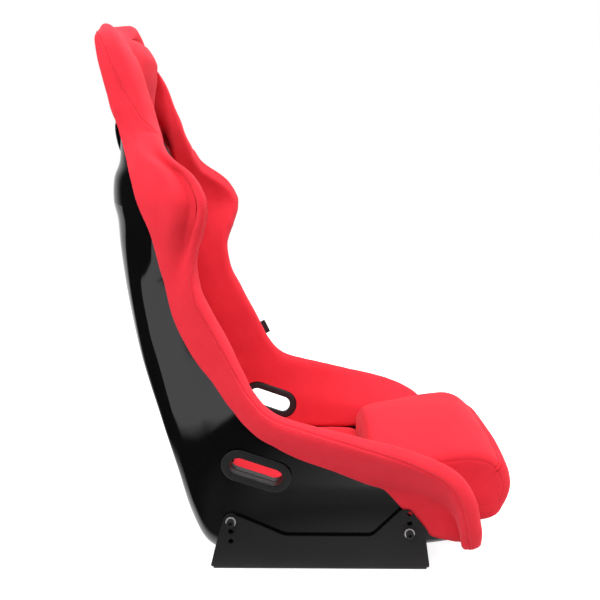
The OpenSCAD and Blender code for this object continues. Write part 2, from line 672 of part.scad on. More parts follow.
// The foam of the neck slopes against the laminate, so the slot's front bezel is tilted with it
neck_rise = norm(skin(head_station - 0.3, 0) - skin(neck_station + 0.3, 0));
neck_tilt = atan((shoulder_foam - neck_foam) / neck_rise);
neck_depth = shell_t + glue_gap + beside_bolster(18.95, 2.8);
module at_neck_slot() at_shoulder_slot()
    translate([0, 0, -neck_depth]) rotate([-neck_tilt, 0, 0]) children();
rear_stand = 1.8; // the rear bezel bridges the hollow of the back plate
module shoulder_rear() at_shoulder_slot() translate([0, 0, rear_stand])
    outer_bezel(shoulder_slot_l, shoulder_slot_h, rear_stand + shell_t - 1);
module shoulder_front() at_neck_slot()
    inner_bezel(shoulder_slot_l, shoulder_slot_h, 8, -bezel_sink);
module shoulder_bezel_front_left() shoulder_front();
module shoulder_bezel_front_right() mirror([0, 1, 0]) shoulder_front();
module shoulder_bezel_rear_left() shoulder_rear();
module shoulder_bezel_rear_right() mirror([0, 1, 0]) shoulder_rear();

// The crotch strap's slot has a thin bezel on the floor, which the pads lie over, and one below
floor_bezel_t = 2;
module crotch_bezel_top() at_crotch_slot() translate([0, 0, -shell_t - seat_play])
    rotate([180, 0, 0]) bezel(crotch_slot_l, crotch_slot_h, shell_t / 2, floor_bezel_t);
module crotch_bezel_bottom() at_crotch_slot()
    outer_bezel(crotch_slot_l, crotch_slot_h, shell_t / 2 - seat_play);

// ---- brackets and fixings --------------------------------------------------------------------
bracket_y = base_half + spacer_t; // the inner face of a bracket
bracket_face = bracket_y + bracket_t;
bend_r = 5; // outside radius of the bend to the floor flange
floor_slot_y = bracket_face - flange_w / 2 - 2;
floor_run = floor_slot_l - floor_slot_w;
washer_t = 1.5;
holes = 3; // heights to choose from at each bolt

// A polygon with its corners rounded off. Each corner is [x, z, how far the rounding reaches].
function rounded(corners, steps = 4) =
    let (n = len(corners))
    [for (i = [0:n - 1]) each
        let (
            xz = function (q) [q[0], q[1]],
            p = xz(corners[i]), reach = corners[i][2],
            a = p + unit(xz(corners[(i + n - 1) % n]) - p) * reach,
            b = p + unit(xz(corners[(i + 1) % n]) - p) * reach
        )
        reach == 0 ? [p]
        : [for (j = [0:steps]) let (t = j / steps) a * (1 - t) * (1 - t) + p * 2 * t * (1 - t) + b * t * t]];

corner = 5; // rounding of the bracket's foot
foot_x = bolt_run / 2 + bracket_past;
rear_x0 = -bolt_run / 2; // the two bolts
front_x0 = bolt_run / 2;
bracket_side = [
    [-foot_x, bend_r - 0.5, corner], [foot_x, bend_r - 0.5, corner],
    [foot_x - 10, front_bolt_z + 10, 12],
    [front_x0 + 1, front_bolt_z + 40, 7],
    [front_x0 - 13, front_bolt_z + 40, 7],
    [front_x0 - 60, rear_bolt_z - 24, 7],
    [rear_x0 + 88, rear_bolt_z - 24, 7],
    [rear_x0 + 12, rear_bolt_z + 9, 8],
    [rear_x0 - 10, rear_bolt_z + 11, 8],
    [rear_x0 - 23, rear_bolt_z - 32, 20],
];
// Where a bracket's bolt holes are: the rear row runs down from its bolt, the front row up
bolt_holes = concat(
    [for (i = [0:holes - 1]) [rear_x0, rear_bolt_z - i * height_pitch]],
    [for (i = [0:holes - 1]) [front_x0, front_bolt_z + i * height_pitch]]
);

module bracket() {
    flange = concat(
        [for (a = [0:30:90]) [bracket_face - bend_r + bend_r * sin(a), bend_r - bend_r * cos(a)]],
        [for (a = [90:-30:0])
            [bracket_face - bend_r + (bend_r - bracket_t) * sin(a), bend_r - (bend_r - bracket_t) * cos(a)]],
        [[bracket_face - flange_w, bracket_t], [bracket_face - flange_w, 0]]
    );
    color(steel_black)
    difference() {
        union() {
            translate([0, bracket_face, 0]) rotate([90, 0, 0])
                linear_extrude(bracket_t) polygon(rounded(bracket_side));
            translate([corner - foot_x, 0, 0]) rotate([90, 0, 90])
                linear_extrude(2 * (foot_x - corner)) polygon(flange);
        }
        for (hole = bolt_holes)
            translate([hole[0], bracket_y - 5, hole[1]]) rotate([-90, 0, 0])
                cylinder(h = bracket_t + 10, d = bolt_d + hole_play);
        for (x = [-floor_pitch / 2, floor_pitch / 2])
            translate([x, floor_slot_y, -5]) {
                for (end = [-1, 1]) translate([end * floor_run / 2, 0, 0])
                    cylinder(h = bracket_t + 10, d = floor_slot_w);
                translate([-floor_run / 2, -floor_slot_w / 2, 0])
                    cube([floor_run, floor_slot_w, bracket_t + 10]);
            }
    }
}
module bracket_left() bracket();
module bracket_right() mirror([0, 1, 0]) bracket();

// A ring round a side bolt, from y = near
module bolt_ring(near, thick, od, id) translate([0, 0, near])
    difference() {
        cylinder(h = thick, d = od);
        translate([0, 0, -1]) cylinder(h = thick + 2, d = id);
    }

head_d = bolt_d * 1.625; // socket head cap screws
key_af = bolt_d * 0.75;
module side_bolts()
    color(steel_black)
    both_hands() at_side_bolts() {
        translate([0, 0, bracket_face + washer_t]) difference() {
            cylinder(h = bolt_d, d = head_d);
            translate([0, 0, bolt_d / 2]) cylinder(h = bolt_d, d = key_af / cos(30), $fn = 6);
        }
        translate([0, 0, base_half - shell_t - 1]) cylinder(h = bracket_face + washer_t - base_half + shell_t + 1, d = bolt_d);
    }

module side_washers()
    color(bright_zinc)
    both_hands() at_side_bolts() bolt_ring(bracket_face, washer_t, washer_d, bolt_d + hole_play);

module side_spacers()
    color(steel_black)
    both_hands() at_side_bolts() bolt_ring(base_half + 0.4, spacer_t - 0.4, 24, bolt_d + hole_play);

// Threaded inserts bonded into the laminate, with a flange on the inside
insert_flange_t = 1.2;
module shell_inserts()
    color(bright_zinc)
    both_hands() at_side_bolts() {
        bolt_ring(base_half - shell_t - 0.2, shell_t + 0.2, insert_d, bolt_d + 0.2);
        bolt_ring(base_half - shell_t - 0.2 - insert_flange_t, insert_flange_t, insert_d + 8, bolt_d + 0.2);
    }

// A small folded tab of webbing sewn into the seam of the left hip bolster
tag = [28, 1.4, 6]; // along the rim, thickness, height
module side_tag() {
    u = 8.9;
    f = side_rim(u);
    along = unit(skin(u + PROBE, RIM_AT) - skin(u - PROBE, RIM_AT));
    out = unit(cross(along, f[1]));
    in = cross(out, along);
    p = f[0] + f[2] * section_at(u)[TOP] - out * 0.4;
    color(trim_black)
    multmatrix([
        [along[0], in[0], out[0], p[0]],
        [along[1], in[1], out[1], p[1]],
        [along[2], in[2], out[2], p[2]],
        [0, 0, 0, 1],
    ]) translate([-tag[0] / 2, -tag[1] / 2, 0]) cube(tag);
}

// ---- the assembly ------------------------------------------------------------------------------
shell();
back_pad();
neck_pad();
head_pad();
head_bolster();
shoulder_bolster_left();
shoulder_bolster_right();
hip_bolster_left();
hip_bolster_right();
base_pad();
thigh_cushion();
pad_strips();
lap_bezel_outer_left();
lap_bezel_outer_right();
lap_bezel_inner_left();
lap_bezel_inner_right();
shoulder_bezel_front_left();
shoulder_bezel_front_right();
shoulder_bezel_rear_left();
shoulder_bezel_rear_right();
crotch_bezel_top();
crotch_bezel_bottom();
bracket_left();
bracket_right();
side_bolts();
side_washers();
side_spacers();
shell_inserts();
side_tag();
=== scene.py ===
"""A fixed-back bucket seat in red fabric over a gloss black laminate shell, on two side-mount
brackets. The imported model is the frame: +X forward, +Y to the sitter's left, +Z up, in metres.
The seat's surfaces are worked out in millimetres, and each mesh is scaled as it is made."""
import math

import bpy
import numpy as np
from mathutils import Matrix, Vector
from mathutils.bvhtree import BVHTree
from mathutils.kdtree import KDTree


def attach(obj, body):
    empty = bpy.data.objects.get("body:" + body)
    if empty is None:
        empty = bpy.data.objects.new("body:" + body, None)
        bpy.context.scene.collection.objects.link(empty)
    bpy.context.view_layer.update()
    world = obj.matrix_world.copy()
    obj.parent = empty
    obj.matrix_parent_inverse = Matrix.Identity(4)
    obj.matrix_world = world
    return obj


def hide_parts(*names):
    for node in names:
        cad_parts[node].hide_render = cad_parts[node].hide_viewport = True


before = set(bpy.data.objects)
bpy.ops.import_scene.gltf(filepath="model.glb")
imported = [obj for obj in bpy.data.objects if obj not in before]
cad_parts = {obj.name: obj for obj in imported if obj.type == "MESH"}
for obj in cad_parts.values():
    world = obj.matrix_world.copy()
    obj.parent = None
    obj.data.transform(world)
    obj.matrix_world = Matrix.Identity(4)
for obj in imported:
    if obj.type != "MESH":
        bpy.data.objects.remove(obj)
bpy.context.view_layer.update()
MM = 0.001

# ---- camera --------------------------------------------------------------------------------------
# A camera a little above the middle of the seat, square on to its right-hand side and tilted down
# by eight degrees. FOCUS is its focal length in pixels of a picture 600 pixels wide.
FOCUS, TILT, TURN = 773.7, 7.87, 0.65
lens = bpy.data.cameras.new("camera")
lens.sensor_width, lens.lens = 36.0, 36.0 * FOCUS / 600
camera = bpy.data.objects.new("camera", lens)
camera.location = (-0.019, -1.402, 0.6085)
camera.rotation_euler = (math.radians(90 - TILT), 0, math.radians(TURN))
bpy.context.scene.collection.objects.link(camera)
bpy.context.scene.camera = camera

# ---- shell ---------------------------------------------------------------------------------------
# The tub is glass-fibre laminate, 5 mm thick, laid up in a polished mould, so its outside is a deep
# gloss black. It is lofted through the cross sections below, from the front lip to the top of the
# head. Belt slots and bolt holes are cut through it.
SHELL_T, GAP = 5.0, 1.0
BASE, BACK, FRONT, HIP, WAIST, WING, HEAD = 204, 207, 250, 238, 229, 254, 140
SEAT_FOAM, BACK_FOAM, NECK_FOAM, HEAD_ROLL = 15, 21, 27.5, 34
# spine x, z; rim x, z; half-width of plate, knee, rim; knee height; bend; band on the outside of
# the rim that the cover is glued to; place where the cover ends
SECTIONS = np.array([
    [238, 47, 237, 54, BASE - 8, BASE, FRONT - 22, 0.60, 24, 4, 4.5],
    [231, 43, 233, 88, BASE - 2, BASE, FRONT - 8, 0.62, 22, 26, 4.7],
    [206, 41, 221, 134, BASE, BASE, FRONT, 0.62, 20, 34, 5.8],
    [168, 36, 196, 166, BASE, BASE, FRONT, 0.62, 20, 40, 7.15],
    [110, 31, 136, 194, BASE, BASE, FRONT, 0.62, 22, 44, 7.8],
    [30, 24, 46, 217, BASE, BASE, FRONT - 4, 0.56, 28, 46, 9.45],
    [-60, 18, -34, 236, BASE, BASE, HIP + 3, 0.50, 36, 32, 9.75],
    [-135, 14, -82, 254, BASE, BASE, HIP, 0.40, 42, 34, 10.1],
    [-185, 30, -112, 286, BASE, BASE + 1, HIP - 2, 0.36, 46, 38, 10.1],
    [-214, 84, -130, 320, BASE, BASE + 10, HIP - 4, 0.40, 46, 40, 9.95],
    [-235, 160, -150, 360, BACK - 1, BACK + 9, WAIST + 2, 0.45, 44, 42, 9.85],
    [-261, 250, -173, 402, BACK, BACK + 9, WAIST, 0.45, 42, 42, 9.6],
    [-288, 345, -197, 450, BACK, BACK + 9, WAIST, 0.45, 40, 36, 9.45],
    [-306, 440, -206, 496, BACK, BACK + 10, WAIST, 0.45, 40, 32, 9.4],
    [-316, 520, -196, 541, BACK + 2, WING - 28, WING - 14, 0.45, 42, 48, 8.7],
    [-319, 566, -187, 574, BACK + 2, WING - 22, WING - 1, 0.45, 42, 70, 7.65],
    [-326, 596, -188, 602, BACK - 2, WING - 22, WING, 0.45, 42, 80, 7.35],
    [-326, 632, -206, 633, WING - 58, WING - 36, WING - 16, 0.45, 40, 78, 7.1],
    [-320, 662, -241, 662, HEAD + 34, HEAD + 52, HEAD + 68, 0.45, 36, 52, 6.7],
    [-325, 705, -262, 700, HEAD + 8, HEAD + 17, HEAD + 26, 0.5, 28, 28, 5.65],
    [-338, 760, -288, 757, HEAD - 6, HEAD, HEAD + 8, 0.5, 22, 16, 5],
    [-353, 822, -309, 819, HEAD - 16, HEAD - 7, HEAD + 1, 0.5, 18, 12, 5],
    [-360, 851, -326, 849, HEAD - 30, HEAD - 20, HEAD - 12, 0.5, 16, 8, 5],
    [-363, 876, -348, 875, HEAD - 72, HEAD - 62, HEAD - 54, 0.5, 14, 4, 5],
], float)
# foam inside, over and outside the rim; crown of the plate
FOAM = np.array([[SEAT_FOAM, 17, 13, 0]] * 10 + [[BACK_FOAM, 17, 13, 5]] * 10 + [[NECK_FOAM, 16, 11, 5]]
                + [[HEAD_ROLL, 14, 13, 5]] * 3)
SECTIONS = np.concatenate([SECTIONS, FOAM], 1)
(SPINE_X, SPINE_Z, RIM_X, RIM_Z, PLATE, KNEE, RIM, RISE, BEND, HEM, COVER, SIDE, OVER, WRAP,
 CROWN) = range(15)
TOP = len(SECTIONS) - 1
KNEE_AT, RIM_AT = 8.0, 12.0  # places in a section, counted from its middle


def unit(v):
    return v / np.maximum(np.linalg.norm(v, axis=-1, keepdims=True), 1e-9)


def mix(a, b, t):
    return a + (b - a) * t


def runs(points, axis=0):
    """Lengths along lines of points, from their starts."""
    steps = np.linalg.norm(np.diff(points, axis=axis), axis=-1)
    return np.concatenate([np.zeros_like(np.take(steps, [0], axis)), np.cumsum(steps, axis)], axis)


def section_at(u):
    """The cross section at station u, on a smooth curve through the sections."""
    u = np.asarray(u, float)
    i = np.clip(np.floor(u).astype(int), 0, TOP - 1)
    f = (u - i)[..., None]
    a, b, c, d = (SECTIONS[np.clip(i + o, 0, TOP)] for o in (-1, 0, 1, 2))
    return (2 * b + (c - a) * f + (2 * a - 5 * b + 4 * c - d) * f**2 + (3 * b - a - 3 * c + d) * f**3) / 2


def across(s, k):
    """Half-width and height above the spine at place k of a section: 0 is the spine, 4 the end of
    the plate, 7 the end of the bend, 8 the knee, 10 the glued band's edge and 12 the rim."""
    k = np.abs(k)
    at = lambda i: s[..., i]
    height = np.hypot(at(RIM_X) - at(SPINE_X), at(RIM_Z) - at(SPINE_Z))
    knee_h = height * at(RISE)
    bend_h = np.minimum(at(BEND), 0.6 * knee_h)
    foot = at(PLATE) - at(BEND)
    wall = mix(at(PLATE), at(KNEE), bend_h / knee_h)
    share = np.minimum(at(HEM) / np.hypot(at(RIM) - at(KNEE), height - knee_h), 0.92)
    hem_w, hem_h = mix(at(RIM), at(KNEE), share), mix(height, knee_h, share)
    t = np.clip((k - 4) / 3, 0, 1)
    stretches = [k <= 4, k <= 7, k <= 8, k <= 10]
    w = np.select(stretches, [
        foot * k / 4, foot * (1 - t)**2 + at(PLATE) * 2 * t * (1 - t) + wall * t**2,
        mix(wall, at(KNEE), k - 7), mix(at(KNEE), hem_w, (k - 8) / 2)], mix(hem_w, at(RIM), (k - 10) / 2))
    h = np.select(stretches, [
        0 * foot * k, bend_h * t**2, mix(bend_h, knee_h, k - 7), mix(knee_h, hem_h, (k - 8) / 2)],
        mix(hem_h, height, (k - 10) / 2))
    return w, h


def skin(u, k, soft=True):
    """A point on the outside of the laminate, its knee rounded off as a mould's is."""
    u, k = np.broadcast_arrays(np.asarray(u, float), np.asarray(k, float))
    s = section_at(u)
    if soft:
        reach = 0.5 * np.maximum(0, 1 - ((np.abs(k) - KNEE_AT) / 1.05)**2)
        parts = [across(s, np.abs(k) + reach * o) for o in (-1, -0.5, 0, 0.5, 1)]
        w, h = (sum(p[i] * q for p, q in zip(parts, (1, 2, 2, 2, 1))) / 8 for i in (0, 1))
    else:
        w, h = across(s, k)
    h = h - s[..., CROWN] * np.maximum(0, 1 - (w / s[..., PLATE])**2)
    rise = unit(np.stack([s[..., RIM_X] - s[..., SPINE_X], s[..., RIM_Z] - s[..., SPINE_Z]], -1))
    return np.stack([s[..., SPINE_X] + rise[..., 0] * h, np.sign(k) * w,
                     s[..., SPINE_Z] + rise[..., 1] * h], -1)


def inward(u, k, soft=True):
    """The unit normal of the laminate, into the seat."""
    u, k = np.broadcast_arrays(np.asarray(u, float), np.asarray(k, float))
    step = 0.06
    along_k = skin(u, np.minimum(k + step, RIM_AT), soft) - skin(u, np.maximum(k - step, -RIM_AT), soft)
    along_u = skin(np.minimum(u + step, TOP), k, soft) - skin(np.maximum(u - step, 0), k, soft)
    return unit(np.cross(along_k, along_u))


def inside(u, k, depth):
    """A point at a depth into the seat from the outside of the laminate."""
    depth = np.broadcast_to(np.asarray(depth, float), np.broadcast(u, k).shape)
    return skin(u, k) + inward(u, k) * depth[..., None]


def quads(rows, cols, first=0, closed=False, flip=False):
    """The faces of a grid of points, closed across its columns where asked."""
    i, j = np.meshgrid(np.arange(rows - 1), np.arange(cols if closed else cols - 1), indexing="ij")
    n = (j + 1) % cols
    f = np.stack([i * cols + j, i * cols + n, (i + 1) * cols + n, (i + 1) * cols + j], -1)
    f = f.reshape(-1, 4) + first
    return (f[:, ::-1] if flip else f).tolist()


def tube(rows, cols, first=0):
    """The faces of a tube of closed rings of points, with its two ends."""
    last = first + (rows - 1) * cols
    return quads(rows, cols, first, True) + [list(range(first, first + cols))[::-1],
                                             list(range(last, last + cols))]


def slab(rows, cols):
    """The faces of a closed body between two grids of points, which follow each other."""
    n = rows * cols
    border = [*range(cols), *range(2 * cols - 1, n, cols), *range(n - 2, n - cols - 1, -1),
              *range(n - 2 * cols, 0, -cols)]
    edge = [[a, b, b + n, a + n] for a, b in zip(border, border[1:] + border[:1])]
    return quads(rows, cols, flip=True) + quads(rows, cols, n) + edge


def piece(name, points, faces, finish, nodes=(), uv=None, angle=None):
    """One object of the seat from points in millimetres. uv is a place on the cloth for each point."""
    mesh = bpy.data.meshes.new(name)
    mesh.from_pydata((np.asarray(points, float) * MM).tolist(), [], faces)
    mesh.validate()
    mesh.polygons.foreach_set("use_smooth", [True] * len(mesh.polygons))
    if uv is not None:
        corner = np.empty(len(mesh.loops), int)
        mesh.loops.foreach_get("vertex_index", corner)
        mesh.uv_layers.new(name="cloth").data.foreach_set("uv", (np.asarray(uv) * MM)[corner].ravel())
    if angle is not None:
        mesh.set_sharp_from_angle(angle=math.radians(angle))
    mesh.materials.append(finish)
    thing = bpy.data.objects.new(name, mesh)
    bpy.context.scene.collection.objects.link(thing)
    if nodes:
        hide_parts(*nodes)
    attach(thing, "root")
    return thing


def apply_modifiers(thing):
    bpy.context.view_layer.update()
    made = bpy.data.meshes.new_from_object(thing.evaluated_get(bpy.context.evaluated_depsgraph_get()))
    thing.modifiers.clear()
    old, thing.data = thing.data, made
    bpy.data.meshes.remove(old)


def cut(thing, cutters):
    """Removes closed solids, each given as points in millimetres and faces, from a piece."""
    points, faces = [], []
    for p, f in cutters:
        faces += [[i + len(points) for i in face] for face in f]
        points += list(p)
    tool = bpy.data.meshes.new("cutter")
    tool.from_pydata((np.array(points) * MM).tolist(), [], faces)
    bit = bpy.data.objects.new("cutter", tool)
    bpy.context.scene.collection.objects.link(bit)
    change = thing.modifiers.new("cut", "BOOLEAN")
    change.object, change.solver, change.operation = bit, "EXACT", "DIFFERENCE"
    apply_modifiers(thing)
    bpy.data.objects.remove(bit)


class Socket:
    """An output of a shader node. Arithmetic on it adds Math nodes."""

    def __init__(self, finish, out):
        self.finish, self.out = finish, out

    def op(self, kind, a, b=0.0):
        return self.finish.add("ShaderNodeMath", {"operation": kind}, {0: a, 1: b})

    def __add__(self, other): return self.op("ADD", self, other)
    def __radd__(self, other): return self.op("ADD", other, self)
    def __sub__(self, other): return self.op("SUBTRACT", self, other)
    def __rsub__(self, other): return self.op("SUBTRACT", other, self)
    def __mul__(self, other): return self.op("MULTIPLY", self, other)
    def __rmul__(self, other): return self.op("MULTIPLY", other, self)
    def at_most(self, other): return self.op("MINIMUM", self, other)
    def at_least(self, other): return self.op("MAXIMUM", self, other)
    def sine(self): return self.op("SINE", self)


class Finish:
    """A material made of nodes, or the nodes of a world."""

    def __init__(self, name, tree=None):
        if tree is None:
            self.material = bpy.data.materials.new(name)
            self.material.use_nodes = True
            tree = self.material.node_tree
        self.tree = tree
        tree.nodes.clear()

    def add(self, kind, settings=None, inputs=None, out=0):
        """Adds a node: its settings first, then the values or links of its inputs."""
        made = self.tree.nodes.new(kind)
        for key, value in (settings or {}).items():
            setattr(made, key, value)
        for key, value in (inputs or {}).items():
            if isinstance(value, Socket):
                self.tree.links.new(value.out, made.inputs[key])
            else:
                made.inputs[key].default_value = value
        return Socket(self, made.outputs[out] if made.outputs else None)

    def blend(self, amount, a, b):
        """A colour between a and b."""
        return self.add("ShaderNodeMix", {"data_type": "RGBA"}, {0: amount, 6: (*a, 1), 7: (*b, 1)}, 2)

    def place(self):
        return self.add("ShaderNodeTexCoord", {}, {}, "Object")

    def noise(self, scale, detail=2.0, rough=0.5, where=None):
        return self.add("ShaderNodeTexNoise", {}, {
            "Vector": where or self.place(), "Scale": scale, "Detail": detail, "Roughness": rough})

    def scaled(self, where, x, y, z):
        return self.add("ShaderNodeMapping", {}, {"Vector": where, "Scale": (x, y, z)})

    def axis(self, where, i):
        return self.add("ShaderNodeSeparateXYZ", {}, {0: where}, i)

    def bump(self, height, strength, distance):
        return self.add("ShaderNodeBump", {}, {"Strength": strength, "Distance": distance, "Height": height})

    def surface(self, **sockets):
        """The shader itself, from the names of its sockets with _ for a space."""
        named = {k.replace("_", " "): v for k, v in sockets.items()}
        shader = self.add("ShaderNodeBsdfPrincipled", {}, named)
        self.add("ShaderNodeOutputMaterial", {}, {"Surface": shader})
        return self.material


gloss = Finish("gloss_laminate")
flow, peel = gloss.noise(9.0), gloss.noise(240.0, 1.0)
gloss_laminate = gloss.surface(
    Base_Color=gloss.blend(flow, (0.0020, 0.0020, 0.0023), (0.0036, 0.0036, 0.004)),
    Roughness=0.05 + flow * 0.03,
    Specular_IOR_Level=0.35, IOR=1.5, Coat_Weight=0.5, Coat_Roughness=0.02,
    Normal=gloss.bump(peel * 0.3 + flow * 0.7, 0.06, 0.0004))


def slot_outline(length, height, extra=0.0, steps=14):
    """A straight stretch with round ends, grown by extra."""
    r, run = height / 2 + extra, (length - height) / 2
    turn = np.radians(np.linspace(-90, 90, steps + 1))
    right = np.stack([run + r * np.cos(turn), r * np.sin(turn)], -1)
    return np.concatenate([right, -right])


def on_skin(u, k, along):
    """Axes x, y, z and the point at a place on the laminate: x along a slot, z out of the shell."""
    z = -inward(u, k, False)
    x = unit(np.array(along, float) - z * (np.array(along, float) @ z))
    return np.array([x, np.cross(z, x), z]), skin(u, k, False)


def prism(outline, place, low, high):
    """A closed prism over an outline, from low to high along z."""
    axes, at = place
    return [at + np.array([*q, z]) @ axes for z in (low, high) for q in outline], tube(2, len(outline))


def other_hand(solid):
    points, faces = solid
    return [p * np.array([1, -1, 1]) for p in points], [f[::-1] for f in faces]


LAP, SHOULDER, CROTCH = (88, 30), (74, 28), (84, 24)  # belt slots, length and height
LAP_TILT, SHOULDER_TILT = math.radians(19), math.radians(12)
lap_place = on_skin(7.03, 9.05, [math.cos(LAP_TILT), 0, -math.sin(LAP_TILT)])
shoulder_place = on_skin(18.95, 2.8, [0, math.cos(SHOULDER_TILT), -math.sin(SHOULDER_TILT)])
crotch_place = on_skin(4.42, 0, [0, 1, 0])
COLLAR = 2.4  # a bezel's collar and its clearance
FLANGE_W, PLAY = 14, 0.3  # a bezel's flange, and its clearance all round

lap_cut = prism(slot_outline(*LAP, COLLAR), lap_place, -60, 30)
shoulder_cut = prism(slot_outline(*SHOULDER, COLLAR), shoulder_place, -60, 30)
crotch_cut = prism(slot_outline(*CROTCH, COLLAR), crotch_place, -20, 30)
BOLT_SPACING, REAR_BOLT_Z, FRONT_BOLT_Z, BOLT_HOLE_R = 290, 81.0, 63.0, 7.1
bolt_x = math.sqrt(BOLT_SPACING**2 - (REAR_BOLT_Z - FRONT_BOLT_Z)**2) / 2
turn = np.linspace(0, 2 * math.pi, 33)[:-1]
bolt_cuts = [prism(BOLT_HOLE_R * np.stack([np.cos(turn), np.sin(turn)], -1),
                   (np.array([[1, 0, 0], [0, 0, -1], [0, 1, 0]]), np.array([x, 0, z])), 190, 230)
             for x, z in ((-bolt_x, REAR_BOLT_Z), (bolt_x, FRONT_BOLT_Z))]


def both_sides(half):
    return np.concatenate([-half[:0:-1], half])


places = both_sides(np.concatenate([np.linspace(0, 4, 24)[:-1], np.linspace(4, 7, 13)[:-1],
                                    np.linspace(7, 9, 22)[:-1], np.linspace(9, 12, 24)]))
trial = np.linspace(0, TOP, 2301)
length = (runs(skin(trial, 6)) + runs(skin(trial, 12))) / 2
stations = np.interp(np.linspace(0, length[-1], int(length[-1] / 6.0)), length, trial)
U, K = np.meshgrid(stations, places, indexing="ij")
shell = piece("shell_laminate", np.concatenate([inside(U, K, d).reshape(-1, 3) for d in (0, SHELL_T)]),
              slab(*U.shape), gloss_laminate, ["shell"])
cutters = [lap_cut, shoulder_cut, *bolt_cuts]
cut(shell, [crotch_cut, *cutters, *[other_hand(c) for c in cutters]])
shell.data.set_sharp_from_angle(angle=math.radians(40))

# ---- bolsters ------------------------------------------------------------------------------------
# One foam roll in red woven cloth runs up each side of the seat and round the head. It is glued to
# the inside of the side wall, bends over its rim and is glued down on the outside, where its cover
# ends in a hem. A stitched seam runs along it, near the crest.
weave = Finish("red_cloth")
threads = weave.scaled(weave.add("ShaderNodeUVMap", {"uv_map": "cloth"}), 900.0, 900.0, 1.0)
over_under = (weave.axis(threads, 0) * math.pi).sine() * (weave.axis(threads, 1) * math.pi).sine()
mottle, fuzz = weave.noise(26.0, 3.0, 0.6), weave.noise(900.0, 2.0, 0.7)
shade = 0.5 + over_under * 0.22 + (fuzz - 0.5) * 0.35 + (mottle - 0.5) * 0.3
red_cloth = weave.surface(
    Base_Color=weave.blend(shade.at_least(0.0).at_most(1.0), (0.50, 0.013, 0.022), (0.74, 0.036, 0.055)),
    Roughness=0.86 - shade * 0.06, Specular_IOR_Level=0.10,
    Sheen_Weight=0.20, Sheen_Roughness=0.45, Sheen_Tint=(1.0, 0.30, 0.36, 1),
    Normal=weave.bump(shade, 0.5, 0.0004))

WAIST_FOLD, NECK_FOLD, HEAD_JOINT = 13, 18, 19.75  # stations where covers meet
HEM_T = 3.0  # thickness of the hem
# places on the outside, as shares of the way from the rim to the hem, and how much of the roll is
# left there, over the seat and round the head
HEM_SHARES = (0.33, 0.57, 0.71, 0.86, 1)
HEM_SEAT, HEM_HEAD = (0.7, 0.45, 0.3, 0.15, 0), (1, 1, 1, 0.75, 0.5)
# the way of the roll round the head: the edge it goes over and the place that its foot reaches,
# each as station and place
HEAD_EDGE = np.array([
    [20.3, 12, 20.3, 4], [20.7, 12, 20.7, 4], [21, 12, 21, 4], [21.5, 12, 21.5, 4], [22, 12, 21.9, 3.9],
    [22.5, 12, 22.1, 3.7], [22.8, 12, 22.2, 3.5], [23, 12, 22.2, 3.3], [23, 10, 22.2, 3], [23, 7, 22.2, 2.6],
    [23, 4, 22.2, 2], [23, 2, 22.2, 1], [23, 0, 22.2, 0]])


def over_rim(foam, wrap):
    """Where the section stands over the rim: the depth on the laminate, how far out the cover is as
    a share of the foam there, its depth, and its lean outwards at the wings."""
    return ((SHELL_T + GAP, 0.45, SHELL_T + 0.96 * foam, -0.2),
            (0.75 * SHELL_T, 0.83, SHELL_T + 0.62 * foam, -0.24),
            (0.5 * SHELL_T, 1.0, SHELL_T + 0.1 * foam, -0.1),
            (0.25 * SHELL_T, 0.84, -0.52 * wrap, 0.17), (-GAP, 0.42, -0.94 * wrap, 0.2))


def bolster_curves(u):
    """The curve on the laminate and the curve of the cover above it, from the foot of the roll
    inside the wall, over the rim, to the hem: station, point, near or cover, xyz."""
    s = section_at(u)
    foam, over, wrap = s[:, SIDE], s[:, OVER] - 7 * np.exp(-(u - 19.0)**4), s[:, WRAP]
    wing = np.exp(-((u - 16.3) / 1.6)**4)  # the crest leans outwards at the wings
    foot = KNEE_AT - 0.15 * np.clip(8.3 - u, 0, 1)  # in the hips the roll reaches down to the base pad
    bottom = SHELL_T + GAP
    pairs = [(inside(u, k, bottom), inside(u, k, bottom + foam * share))
             for k, share in ((foot, 0.8), (9.0, 0.94), (10.0, 1.0), (11.0, 1.0 - 0.12 * wing))]
    rim, into = skin(u, RIM_AT), inward(u, RIM_AT)
    out = unit(rim - skin(u, RIM_AT - 1))

    def at(away, depth):
        away, depth = (np.broadcast_to(v, u.shape)[:, None] for v in (away, depth))
        return rim + out * away + into * depth

    for near, share, depth, lean in over_rim(foam, wrap):
        pairs.append((at(GAP, near), at((share + lean * wing) * over, depth - 2.0 * wing)))
    fade = np.clip((u - 19) / 0.75, 0, 1)
    for share, thin, thick in zip(HEM_SHARES, HEM_SEAT, HEM_HEAD):
        k = mix(RIM_AT, s[:, COVER], share)
        pairs.append((inside(u, k, -GAP), inside(u, k, -GAP - mix(HEM_T, wrap, mix(thin, thick, fade)))))
    return np.stack([np.stack(p, 1) for p in pairs], 1)


